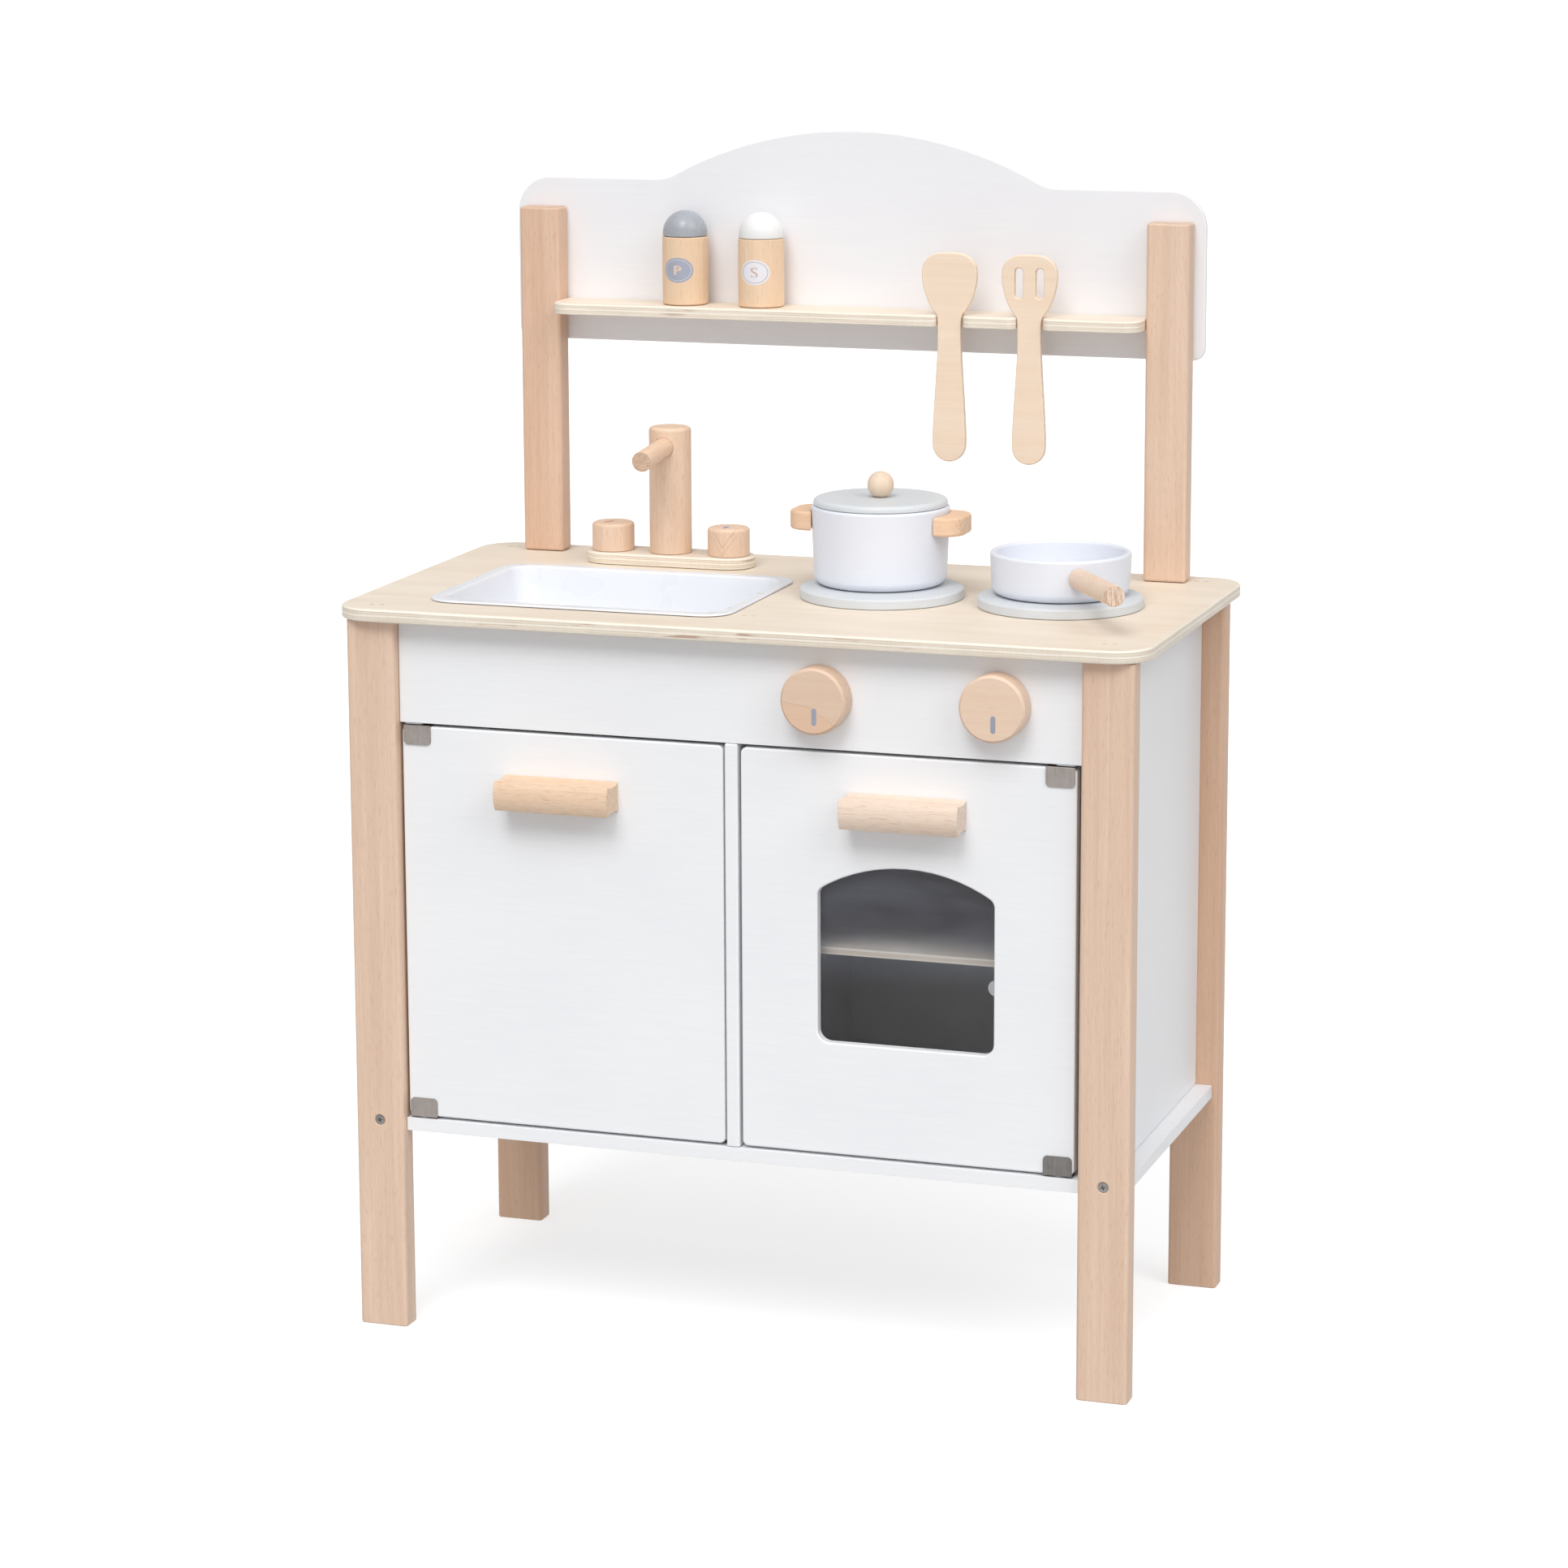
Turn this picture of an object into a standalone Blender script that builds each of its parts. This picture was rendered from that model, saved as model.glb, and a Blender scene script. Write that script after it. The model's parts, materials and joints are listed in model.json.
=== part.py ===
"""Wooden toy kitchen: cabinet with two hung doors, sink, tap, hob, shelf and utensils.

Metres, +Z up.  X runs to the right and Y to the rear, seen from the front.
The origin is on the floor, under the middle of the kitchen.
"""

from math import atan2, cos, pi, radians, sin

import bmesh
import bpy
from mathutils import Matrix, Vector

# Driving dimensions
GAP = 0.0003              # clearance between pieces that touch
PLY = 0.009               # thickness of the painted panels
LEG_SPAN = 0.541          # over the outer faces of the legs
LEG_WIDTH = 0.0345
LEG_DEPTH = 0.0175
FRAME_DEPTH = 0.2675      # front face of the front legs to rear face of the rear legs
TOP_Z = 0.4995            # upper face of the worktop
TOP_THICK = 0.009
TOP_HALF_WIDTH = 0.2785
TOP_OVERHANG = 0.008      # worktop in front of the legs
TOP_REAR = 0.2825         # worktop's rear edge behind the legs' front face
BOARD_TOP_Z = 0.1475      # upper face of the cabinet's floor
SCREW_Z = 0.1457          # leg screws
FASCIA_LOW_Z = 0.4212
SIDE_FACE_X = 0.2546      # outer face of the side panels
RECESS = 0.0075           # doors and fascia behind the legs' front face

DOOR_WIDTH = 0.227
DOOR_LOW_Z = 0.1493
DOOR_HIGH_Z = 0.4190
DOOR_LEFT_EDGE = -0.2343
DOOR_RIGHT_EDGE = 0.2319
PIVOT_INSET = 0.011       # hinge axis from the door's hung edge
DIVIDER_X = -0.0015
CLIP_WIDTH = 0.0194
CLIP_REACH = 0.0125       # height of a hinge clip on the door's face
PIN_RADIUS = 0.0015
WINDOW_WIDTH = 0.1198
WINDOW_LOW_Z = 0.2247
WINDOW_HIGH_Z = 0.3450
WINDOW_ARCH = 0.110       # radius of the window's arched head

HANDLE_LENGTH = 0.080
HANDLE_HEIGHT = 0.0204
HANDLE_DEPTH = 0.0217
HANDLE_Z = (0.3800, 0.3835)

KNOB_RADIUS = 0.022
KNOB_DEPTH = 0.016
KNOB_X = (0.0595, 0.1793)
KNOB_Z = (0.4552, 0.4573)

POST_WIDTH = 0.0298
POST_OUTER_X = 0.2420
POST_TOP_Z = 0.7443
BACKBOARD_HALF_WIDTH = 0.2495
BACKBOARD_THICK = 0.004
BACKBOARD_LOW_Z = 0.6501
BACKBOARD_SHOULDER_Z = 0.7646
BACKBOARD_CROWN_Z = 0.8010
CROWN_RADIUS = 0.279

SHELF_TOP_Z = 0.6795
SHELF_THICK = 0.008
SHELF_REACH = 0.0388      # shelf's depth in front of the backboard
SLOT_X = (0.0790, 0.1355)
SLOT_WIDTH = 0.019
SLOT_DEPTH = 0.018

SINK_X = -0.12005
SINK_SIZE = (0.2139, 0.159)
SINK_DEPTH = 0.045
SINK_WALL = 0.0016

TAP_X = -0.1213
TAP_PITCH = 0.0429        # tap post to each tap knob
TAP_RADIUS = 0.0148
TAP_BASE_THICK = 0.008
TAP_POST_TOP_Z = 0.5965
SPOUT_RADIUS = 0.007
SPOUT_REACH = 0.058       # spout's free end from the tap post's axis
SPOUT_Z = 0.5843          # height of the spout's axis where it meets the tap post's axis
SPOUT_DROP = radians(5.0)

HOB_RADIUS = 0.0552
HOB_THICK = 0.0067
HOB_X = (0.0600, 0.1840)
POT_RADIUS = 0.0469
POT_HEIGHT = 0.0534
PAN_RADIUS = 0.0472
PAN_HEIGHT = 0.0287
VESSEL_WALL = 0.0045
PAN_HANDLE_LENGTH = 0.087    # handle beyond the pan's rim
PAN_HANDLE_AZIMUTH = radians(29.9)
PAN_HANDLE_RISE = radians(2.3)

SHAKER_X = (-0.1181, -0.0622)
SHAKER_RADIUS = 0.0160
SHAKER_BODY_HEIGHT = 0.0472

UTENSIL_THICK = 0.005

STEPS = 32                # facets round a turned piece

# Depths, measured from the origin.  The deepest points are the handles and the worktop's rear edge.
FACE_Y = -(TOP_REAR + RECESS - GAP - HANDLE_DEPTH) / 2    # front face of the front legs
REAR_Y = FACE_Y + FRAME_DEPTH
DOOR_Y = FACE_Y + RECESS
PIVOT_Y = DOOR_Y + PLY / 2
LEG_INNER_X = LEG_SPAN / 2 - LEG_WIDTH
UNDER_TOP_Z = TOP_Z - TOP_THICK
SIDE_REAR_Y = REAR_Y - LEG_DEPTH - GAP
BACKBOARD_Y = REAR_Y + GAP
SHELF_FRONT_Y = BACKBOARD_Y - SHELF_REACH
TAP_Y = FACE_Y + 0.225
SINK_Y = FACE_Y + 0.1075
HOB_Y = FACE_Y + 0.1405
POT_CENTRE = (0.0553, FACE_Y + 0.1525)
PAN_CENTRE = (0.1820, FACE_Y + 0.1480)
UTENSIL_Y = SHELF_FRONT_Y + 0.0075
SHAKER_Y = BACKBOARD_Y - SHAKER_RADIUS - 0.0013


# ---------------------------------------------------------------- scene and materials

def clear_scene():
    for thing in list(bpy.data.objects):
        bpy.data.objects.remove(thing, do_unlink=True)


def new_collection(name):
    group = bpy.data.collections.new(name)
    bpy.context.scene.collection.children.link(group)
    return group


def material(name, colour, roughness, metallic=0.0, alpha=1.0):
    paint = bpy.data.materials.new(name)
    paint.use_nodes = True
    shader = paint.node_tree.nodes["Principled BSDF"]
    shader.inputs["Base Color"].default_value = (*colour, 1.0)
    shader.inputs["Roughness"].default_value = roughness
    shader.inputs["Metallic"].default_value = metallic
    shader.inputs["Alpha"].default_value = alpha
    paint.diffuse_color = (*colour, alpha)
    return paint


clear_scene()
KITCHEN = new_collection("toy_kitchen")
CUTTERS = new_collection("cutters")

BEECH = material("beech", (0.73, 0.51, 0.37), 0.55)
PALE_WOOD = material("pale_wood", (0.83, 0.60, 0.36), 0.5)
PLYWOOD = material("birch_ply", (0.85, 0.74, 0.58), 0.55)
WHITE = material("white_paint", (0.84, 0.84, 0.85), 0.45)
WHITE_PLASTIC = material("white_plastic", (0.86, 0.87, 0.90), 0.3)
GREY = material("grey_paint", (0.60, 0.64, 0.65), 0.45)
SLATE = material("slate_paint", (0.31, 0.34, 0.37), 0.35)
STEEL = material("steel", (0.45, 0.42, 0.40), 0.35, metallic=1.0)
SMOKED = material("smoked_acrylic", (0.03, 0.03, 0.035), 0.1, alpha=0.5)


# ---------------------------------------------------------------- modelling helpers

def add_piece(name, mesh, paint, place=Matrix.Identity(4), smooth=False):
    """Put a mesh in the kitchen's collection as one named piece."""
    piece = bpy.data.objects.new(name, mesh)
    piece.matrix_world = place
    mesh.materials.clear()
    mesh.materials.append(paint)
    if smooth:
        mesh.shade_smooth()
        mesh.set_sharp_from_angle(angle=radians(35))
    KITCHEN.objects.link(piece)
    return piece


def box(name, paint, x, y, z):
    """A box between three pairs of limits."""
    work = bmesh.new()
    bmesh.ops.create_cube(work, size=1.0)
    bmesh.ops.scale(work, vec=(x[1] - x[0], y[1] - y[0], z[1] - z[0]), verts=work.verts)
    mesh = bpy.data.meshes.new(name)
    work.to_mesh(mesh)
    work.free()
    centre = Vector((sum(x) / 2, sum(y) / 2, sum(z) / 2))
    return add_piece(name, mesh, paint, Matrix.Translation(centre))


def rounded(corners, closed=True, arc_steps=4):
    """Points of a 2D line whose corners (x, y, radius) are turned into arcs."""
    points = []
    count = len(corners)
    for i, (x, y, radius) in enumerate(corners):
        here = Vector((x, y))
        is_end = not closed and i in (0, count - 1)
        if radius == 0 or is_end:
            points.append(here)
            continue
        before = (Vector(corners[i - 1][:2]) - here).normalized()
        after = (Vector(corners[(i + 1) % count][:2]) - here).normalized()
        half = before.angle(after) / 2
        centre = here + (before + after).normalized() * (radius / sin(half))
        start = here + before * (radius / (sin(half) / cos(half))) - centre
        end = here + after * (radius / (sin(half) / cos(half))) - centre
        turn = start.angle_signed(end)
        for step in range(arc_steps + 1):
            angle = -turn * step / arc_steps
            points.append(centre + Matrix.Rotation(angle, 2) @ start)
    return points


def arc(centre, radius, start, end, steps):
    """Points along an arc, with its angles in radians."""
    angles = [start + (end - start) * i / steps for i in range(steps + 1)]
    return [Vector((centre[0] + radius * cos(a), centre[1] + radius * sin(a))) for a in angles]


def rectangle(x, y, radius=0.0, arc_steps=4):
    corners = [(x[0], y[0], radius), (x[1], y[0], radius), (x[1], y[1], radius), (x[0], y[1], radius)]
    return rounded(corners, arc_steps=arc_steps)


def circle(centre, radius, steps=16):
    return arc(centre, radius, 0, 2 * pi * (steps - 1) / steps, steps - 1)


def plate_mesh(name, outlines, thickness):
    """A flat plate: the first outline is its edge and the others are holes."""
    curve = bpy.data.curves.new(name, "CURVE")
    curve.dimensions = "2D"
    curve.fill_mode = "BOTH"
    curve.extrude = thickness / 2
    for outline in outlines:
        spline = curve.splines.new("POLY")
        spline.points.add(len(outline) - 1)
        for point, place in zip(spline.points, outline):
            point.co = (place[0], place[1], 0, 1)
        spline.use_cyclic_u = True
    guide = bpy.data.objects.new(name, curve)
    CUTTERS.objects.link(guide)
    graph = bpy.context.evaluated_depsgraph_get()
    mesh = bpy.data.meshes.new_from_object(guide.evaluated_get(graph))
    bpy.data.objects.remove(guide)
    work = bmesh.new()
    work.from_mesh(mesh)
    bmesh.ops.remove_doubles(work, verts=work.verts, dist=0.00001)
    bmesh.ops.recalc_face_normals(work, faces=work.faces)
    work.to_mesh(mesh)
    work.free()
    return mesh


# How a flat outline's x and y are stood up in the world, for plates across each world axis.
STANDING = {
    "x": Matrix(((0, 0, 1, 0), (1, 0, 0, 0), (0, 1, 0, 0), (0, 0, 0, 1))),
    "y": Matrix.Rotation(pi / 2, 4, "X"),
    "z": Matrix.Identity(4),
}
DIRECTIONS = {"x": Vector((1, 0, 0)), "y": Vector((0, 1, 0)), "z": Vector((0, 0, 1))}


def plate(name, paint, outlines, across, limits, smooth=False):
    """A plate between two limits along one world axis."""
    mesh = plate_mesh(name, outlines, limits[1] - limits[0])
    shift = Matrix.Translation(DIRECTIONS[across] * sum(limits) / 2)
    return add_piece(name, mesh, paint, shift @ STANDING[across], smooth)


def turned_mesh(name, profile, steps=STEPS):
    """A turned body.  The profile (radius, height) runs down its outer side."""
    mesh = bpy.data.meshes.new(name)
    edges = [(i, i + 1) for i in range(len(profile) - 1)]
    mesh.from_pydata([(r, 0, z) for r, z in profile], edges, [])
    guide = bpy.data.objects.new(name, mesh)
    CUTTERS.objects.link(guide)
    screw = guide.modifiers.new("turn", "SCREW")
    screw.steps = steps
    screw.render_steps = steps
    screw.use_merge_vertices = True
    screw.merge_threshold = 0.00001
    graph = bpy.context.evaluated_depsgraph_get()
    result = bpy.data.meshes.new_from_object(guide.evaluated_get(graph))
    bpy.data.objects.remove(guide)
    return result


def turned(name, paint, profile, base, frame=Matrix.Identity(4), steps=STEPS):
    """A turned piece standing on a point, with its axis along the frame's Z."""
    place = Matrix.Translation(Vector(base)) @ frame
    return add_piece(name, turned_mesh(name, profile, steps), paint, place, smooth=True)


def change(piece, tool, operation):
    """Cut a tool out of a piece, or join it on."""
    if tool.name in KITCHEN.objects:
        KITCHEN.objects.unlink(tool)
        CUTTERS.objects.link(tool)
    tool.hide_render = True
    tool.display_type = "WIRE"
    step = piece.modifiers.new(tool.name, "BOOLEAN")
    step.operation = operation
    step.solver = "EXACT"
    step.object = tool


def cut(piece, tool):
    change(piece, tool, "DIFFERENCE")


def rod_profile(radius, length, ease=0.0):
    """A round rod that stands on z = 0, with its end edges eased if asked."""
    if not ease:
        return [(0, length), (radius, length), (radius, 0), (0, 0)]
    return [(0, length), (radius - ease, length), (radius, length - ease), (radius, ease),
            (radius - ease, 0), (0, 0)]


# ---------------------------------------------------------------- frame and cabinet

def build_legs():
    sides = {"left": -1, "right": 1}
    depths = {"front": (FACE_Y, FACE_Y + LEG_DEPTH), "rear": (REAR_Y - LEG_DEPTH, REAR_Y)}
    for depth, y in depths.items():
        for side, sign in sides.items():
            x = sorted((sign * LEG_INNER_X, sign * LEG_SPAN / 2))
            box(f"leg_{depth}_{side}", BEECH, x, y, (0, UNDER_TOP_Z - GAP))


def build_leg_screws():
    """A countersunk screw through each front leg into the cabinet's floor."""
    length, head, shank = 0.0330, 0.0038, 0.0012
    screw = [(0, length), (head, length), (shank, length - head + shank), (shank, 0), (0, 0)]
    above = 0.002
    slack = 0.00045
    seat = [(0, length + above), (head + slack + above, length + above),
            (shank + GAP, length - head + shank + GAP - slack), (shank + GAP, -GAP), (0, -GAP)]
    forwards = STANDING["y"]
    for side, sign in {"left": -1, "right": 1}.items():
        tip = Vector((sign * (LEG_INNER_X + LEG_WIDTH / 2), FACE_Y + 0.0002 + length, SCREW_Z))
        hole = turned(f"screw_hole_{side}", STEEL, seat, tip, forwards, 16)
        cut(bpy.data.objects[f"leg_front_{side}"], hole)
        cut(bpy.data.objects["bottom_board"], hole)
        turned(f"leg_screw_{side}", STEEL, screw, tip, forwards, 16)


def build_cabinet():
    inner = LEG_INNER_X - GAP
    side_front = FACE_Y + LEG_DEPTH + GAP
    standing = (BOARD_TOP_Z + GAP, UNDER_TOP_Z - GAP)
    for side, sign in {"left": -1, "right": 1}.items():
        x = sorted((sign * SIDE_FACE_X, sign * (SIDE_FACE_X - PLY)))
        box(f"side_panel_{side}", WHITE, x, (side_front, SIDE_REAR_Y), standing)

    lip = 0.266
    strip = 0.006
    board_y = (FACE_Y + strip, REAR_Y - strip)
    board = box("bottom_board", WHITE, (-lip, lip), board_y, (BOARD_TOP_Z - PLY, BOARD_TOP_Z))
    for depth, y in (("front", (FACE_Y, side_front)), ("rear", (SIDE_REAR_Y, REAR_Y))):
        for side, sign in (("left", -1), ("right", 1)):
            x = sorted((sign * inner, sign * (lip + 0.01)))
            notch_z = (BOARD_TOP_Z - 2 * PLY, BOARD_TOP_Z + PLY)
            cut(board, box(f"leg_notch_{depth}_{side}", WHITE, x, y, notch_z))

    back_y = REAR_Y - LEG_DEPTH
    box("cabinet_back", WHITE, (-inner, inner), (back_y, back_y + 0.004), standing)

    notch_y = DOOR_Y + PLY + GAP
    front_y = DOOR_Y - 0.001
    step_z = FASCIA_LOW_Z - GAP
    side_view = [(front_y, standing[0]), (SIDE_REAR_Y, standing[0]), (SIDE_REAR_Y, standing[1]),
                 (notch_y, standing[1]), (notch_y, step_z), (front_y, step_z)]
    half = PLY / 2
    plate("centre_divider", WHITE, [side_view], "x", (DIVIDER_X - half, DIVIDER_X + half))

    shelf_x = (DIVIDER_X + half + GAP, SIDE_FACE_X - PLY - GAP)
    box("oven_shelf", PLYWOOD, shelf_x, (FACE_Y + 0.028, SIDE_REAR_Y), (0.2790, 0.2840))


def build_fascia():
    inner = LEG_INNER_X - GAP
    shaft_holes = [circle((x, z), 0.0043) for x, z in zip(KNOB_X, KNOB_Z)]
    outline = rectangle((-inner, inner), (FASCIA_LOW_Z, UNDER_TOP_Z - GAP))
    plate("fascia_panel", WHITE, [outline, *shaft_holes], "y", (DOOR_Y, DOOR_Y + PLY))


def build_worktop():
    front = FACE_Y - TOP_OVERHANG
    rear = FACE_Y + TOP_REAR
    outline = rectangle((-TOP_HALF_WIDTH, TOP_HALF_WIDTH), (front, rear), 0.026, arc_steps=6)
    margin = 0.0071
    half_x = SINK_SIZE[0] / 2 - margin
    half_y = SINK_SIZE[1] / 2 - margin
    cut_out = rectangle((SINK_X - half_x, SINK_X + half_x), (SINK_Y - half_y, SINK_Y + half_y), 0.0165)
    plate("countertop", PLYWOOD, [outline, cut_out], "z", (UNDER_TOP_Z, TOP_Z))


# ---------------------------------------------------------------- upper frame

def crown_outline():
    """The backboard's edge: rounded corners and an arched crown blended into flat shoulders."""
    w = BACKBOARD_HALF_WIDTH
    crown_centre_z = BACKBOARD_CROWN_Z - CROWN_RADIUS
    blend = 0.030
    rise = BACKBOARD_SHOULDER_Z + blend - crown_centre_z
    blend_x = ((CROWN_RADIUS + blend) ** 2 - rise ** 2) ** 0.5
    lean = atan2(blend_x, rise)
    right = arc((blend_x, BACKBOARD_SHOULDER_Z + blend), blend, -pi / 2, -pi / 2 - lean, 3)
    crown = arc((0, crown_centre_z), CROWN_RADIUS, pi / 2 - lean, pi / 2 + lean, 20)
    left = [Vector((-p.x, p.y)) for p in reversed(right)]
    lower = rounded([(0, BACKBOARD_LOW_Z, 0), (w, BACKBOARD_LOW_Z, 0.0085), (w, BACKBOARD_SHOULDER_Z, 0.025),
                     (blend_x, BACKBOARD_SHOULDER_Z, 0)], closed=False)[1:-1]
    lower_left = [Vector((-p.x, p.y)) for p in reversed(lower)]
    return lower + right + crown[1:-1] + left + lower_left


def build_upper_frame():
    post_y = (REAR_Y - LEG_DEPTH, REAR_Y)
    for side, sign in {"left": -1, "right": 1}.items():
        x = sorted((sign * POST_OUTER_X, sign * (POST_OUTER_X - POST_WIDTH)))
        box(f"post_{side}", BEECH, x, post_y, (TOP_Z + GAP, POST_TOP_Z))
    plate("backboard", WHITE, [crown_outline()], "y", (BACKBOARD_Y, BACKBOARD_Y + BACKBOARD_THICK))


def shelf_outline():
    """The shelf from above, with two open slots in its front edge."""
    half = POST_OUTER_X - POST_WIDTH - GAP
    front = SHELF_FRONT_Y
    rear = BACKBOARD_Y - GAP
    corners = [(half, rear, 0), (-half, rear, 0), (-half, front, 0.012)]
    for x in SLOT_X:
        low, high, deep = x - SLOT_WIDTH / 2, x + SLOT_WIDTH / 2, front + SLOT_DEPTH
        corners += [(low, front, 0.006), (low, deep, 0.002), (high, deep, 0.002), (high, front, 0.006)]
    corners.append((half, front, 0.012))
    return rounded(corners)


def build_shelf():
    plate("utensil_shelf", PLYWOOD, [shelf_outline()], "z", (SHELF_TOP_Z - SHELF_THICK, SHELF_TOP_Z))


# ---------------------------------------------------------------- doors

def handle_outline(z):
    """The handle's end view: a shallow cove above and below, and a bowed front."""
    half = HANDLE_HEIGHT / 2
    waist = half - 0.0015
    bow = 0.0030
    shoulder = HANDLE_DEPTH - bow
    upper = [(0, half), (0.0020, waist + 0.0006), (0.0055, waist), (0.0130, waist),
             (shoulder - 0.0030, waist + 0.0005), (shoulder, half)]
    radius = (half ** 2 + bow ** 2) / (2 * bow)
    reach = atan2(half, radius - bow)
    front = arc((HANDLE_DEPTH - radius, 0), radius, reach, -reach, 8)
    lower = [(depth, -height) for depth, height in reversed(upper)]
    outline = [*upper, *front[1:-1], *lower]
    return [Vector((DOOR_Y - GAP - depth, z + height)) for depth, height in outline]


def build_clip(name, pivot_x, at_top):
    """A folded steel plate that wraps the door's edge and carries its hinge pin."""
    sheet, flange, pin_length = 0.0007, 0.0005, 0.0050
    x = (pivot_x - CLIP_WIDTH / 2, pivot_x + CLIP_WIDTH / 2)
    front = DOOR_Y - GAP - sheet
    rear = DOOR_Y + PLY
    up = 1 if at_top else -1
    edge_z = DOOR_HIGH_Z if at_top else DOOR_LOW_Z
    low_z = edge_z - up * CLIP_REACH
    seat_z = edge_z + up * GAP
    fold_z = seat_z + up * flange
    corners = [(front, low_z), (front + sheet, low_z), (front + sheet, seat_z), (rear, seat_z),
               (rear, fold_z), (front, fold_z)]
    clip = plate(name, STEEL, [corners], "x", x)
    root_z = fold_z - up * flange / 2
    pin_z = root_z if at_top else root_z - pin_length
    pin_base = (pivot_x, PIVOT_Y, pin_z)
    pin = turned(f"{name}_pin", STEEL, rod_profile(PIN_RADIUS, pin_length), pin_base, steps=12)
    change(clip, pin, "UNION")


def build_bearings(side, sign, pivot_x):
    """Thin bearing plates round the hinge pins, and the pins' holes in the fascia and floor."""
    hole = circle((pivot_x, PIVOT_Y), PIN_RADIUS + 0.0004, 12)
    x = sorted((pivot_x - sign * 0.0035, pivot_x + sign * 0.0100))
    upper = rectangle(x, (DOOR_Y + 0.0005, DOOR_Y + PLY - 0.0005), 0.002, 3)
    top = FASCIA_LOW_Z - GAP
    plate(f"pivot_plate_{side}_upper", WHITE_PLASTIC, [upper, hole], "z", (top - 0.0006, top))
    seat = BOARD_TOP_Z + GAP
    lower = circle((pivot_x, PIVOT_Y), 0.0040, 16)
    plate(f"pivot_plate_{side}_lower", WHITE_PLASTIC, [lower, hole], "z", (seat, seat + 0.0004))
    panels = (("upper", "fascia_panel", FASCIA_LOW_Z), ("lower", "bottom_board", BOARD_TOP_Z))
    for level, panel, middle in panels:
        base = (pivot_x, PIVOT_Y, middle - 0.006)
        hole = rod_profile(PIN_RADIUS + 0.0005, 0.012)
        bore = turned(f"pivot_bore_{side}_{level}", STEEL, hole, base, steps=12)
        cut(bpy.data.objects[panel], bore)


def build_catch(side, sign):
    """A magnetic catch on the divider, and the steel disc that it holds on the door."""
    face_x = DIVIDER_X + sign * (PLY / 2 + GAP)
    x = sorted((face_x, face_x + sign * 0.0197))
    strike_y = DOOR_Y + PLY + GAP
    thick = 0.0008
    z = (0.330, 0.360)
    box(f"door_catch_{side}", WHITE_PLASTIC, x, (strike_y + thick + GAP, strike_y + 0.0151), z)
    backwards = Matrix.Rotation(-pi / 2, 4, "X")
    centre = (face_x + sign * 0.0107, strike_y, sum(z) / 2)
    turned(f"strike_plate_{side}", STEEL, rod_profile(0.0070, thick), centre, backwards, 16)


def window_outline(margin=0.0):
    """The oven window: straight sides, rounded feet and an arched head."""
    centre_x = DOOR_RIGHT_EDGE - DOOR_WIDTH / 2 - 0.0010
    half = WINDOW_WIDTH / 2 + margin
    low, high = WINDOW_LOW_Z - margin, WINDOW_HIGH_Z + margin
    radius = WINDOW_ARCH + margin
    reach = atan2(half, (radius ** 2 - half ** 2) ** 0.5)
    head = arc((0, high - radius), radius, pi / 2 - reach, pi / 2 + reach, 14)
    shoulder = head[0].y
    corners = [(half, low, 0.008), (half, shoulder, 0.007)]
    corners += [(p.x, p.y, 0) for p in head[1:-1]]
    corners += [(-half, shoulder, 0.007), (-half, low, 0.008)]
    return [Vector((centre_x + p.x, p.y)) for p in rounded(corners)]


def build_door(side, sign, x, handle_z, holes=()):
    pivot_x = x[0] + PIVOT_INSET if sign < 0 else x[1] - PIVOT_INSET
    outline = rectangle(x, (DOOR_LOW_Z, DOOR_HIGH_Z), 0.0040, arc_steps=3)
    plate(f"door_{side}", WHITE, [outline, *holes], "y", (DOOR_Y, DOOR_Y + PLY))
    centre = sum(x) / 2
    handle_x = (centre - HANDLE_LENGTH / 2, centre + HANDLE_LENGTH / 2)
    plate(f"door_{side}_handle", PALE_WOOD, [handle_outline(handle_z)], "x", handle_x, smooth=True)
    build_clip(f"door_{side}_clip_upper", pivot_x, at_top=True)
    build_clip(f"door_{side}_clip_lower", pivot_x, at_top=False)
    build_bearings(side, sign, pivot_x)
    build_catch(side, sign)
    return pivot_x


def build_doors():
    left_x = (DOOR_LEFT_EDGE, DOOR_LEFT_EDGE + DOOR_WIDTH)
    right_x = (DOOR_RIGHT_EDGE - DOOR_WIDTH, DOOR_RIGHT_EDGE)
    left_pivot = build_door("left", -1, left_x, HANDLE_Z[0])
    right_pivot = build_door("right", 1, right_x, HANDLE_Z[1], [window_outline()])
    seat, pane = 0.0065, 0.0020
    rebate = (DOOR_Y + seat, DOOR_Y + 2 * PLY)
    door = bpy.data.objects["door_right"]
    cut(door, plate("pane_rebate", WHITE, [window_outline(0.006 + GAP)], "y", rebate))
    pane_y = DOOR_Y + seat + GAP
    plate("oven_window", SMOKED, [window_outline(0.006)], "y", (pane_y, pane_y + pane))
    hinge("hinge_left", left_pivot, ("door_left", "strike_plate_left"))
    hinge("hinge_right", right_pivot, ("door_right", "strike_plate_right", "oven_window"))


def hinge(name, pivot_x, prefixes):
    """Hang a door's pieces on an empty on its hinge line."""
    axis = bpy.data.objects.new(name, None)
    axis.location = (pivot_x, PIVOT_Y, BOARD_TOP_Z)
    KITCHEN.objects.link(axis)
    bpy.context.view_layer.update()
    for piece in KITCHEN.objects:
        if piece is not axis and piece.name.startswith(prefixes):
            piece.parent = axis
            piece.matrix_parent_inverse = axis.matrix_world.inverted()


# ---------------------------------------------------------------- controls

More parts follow.
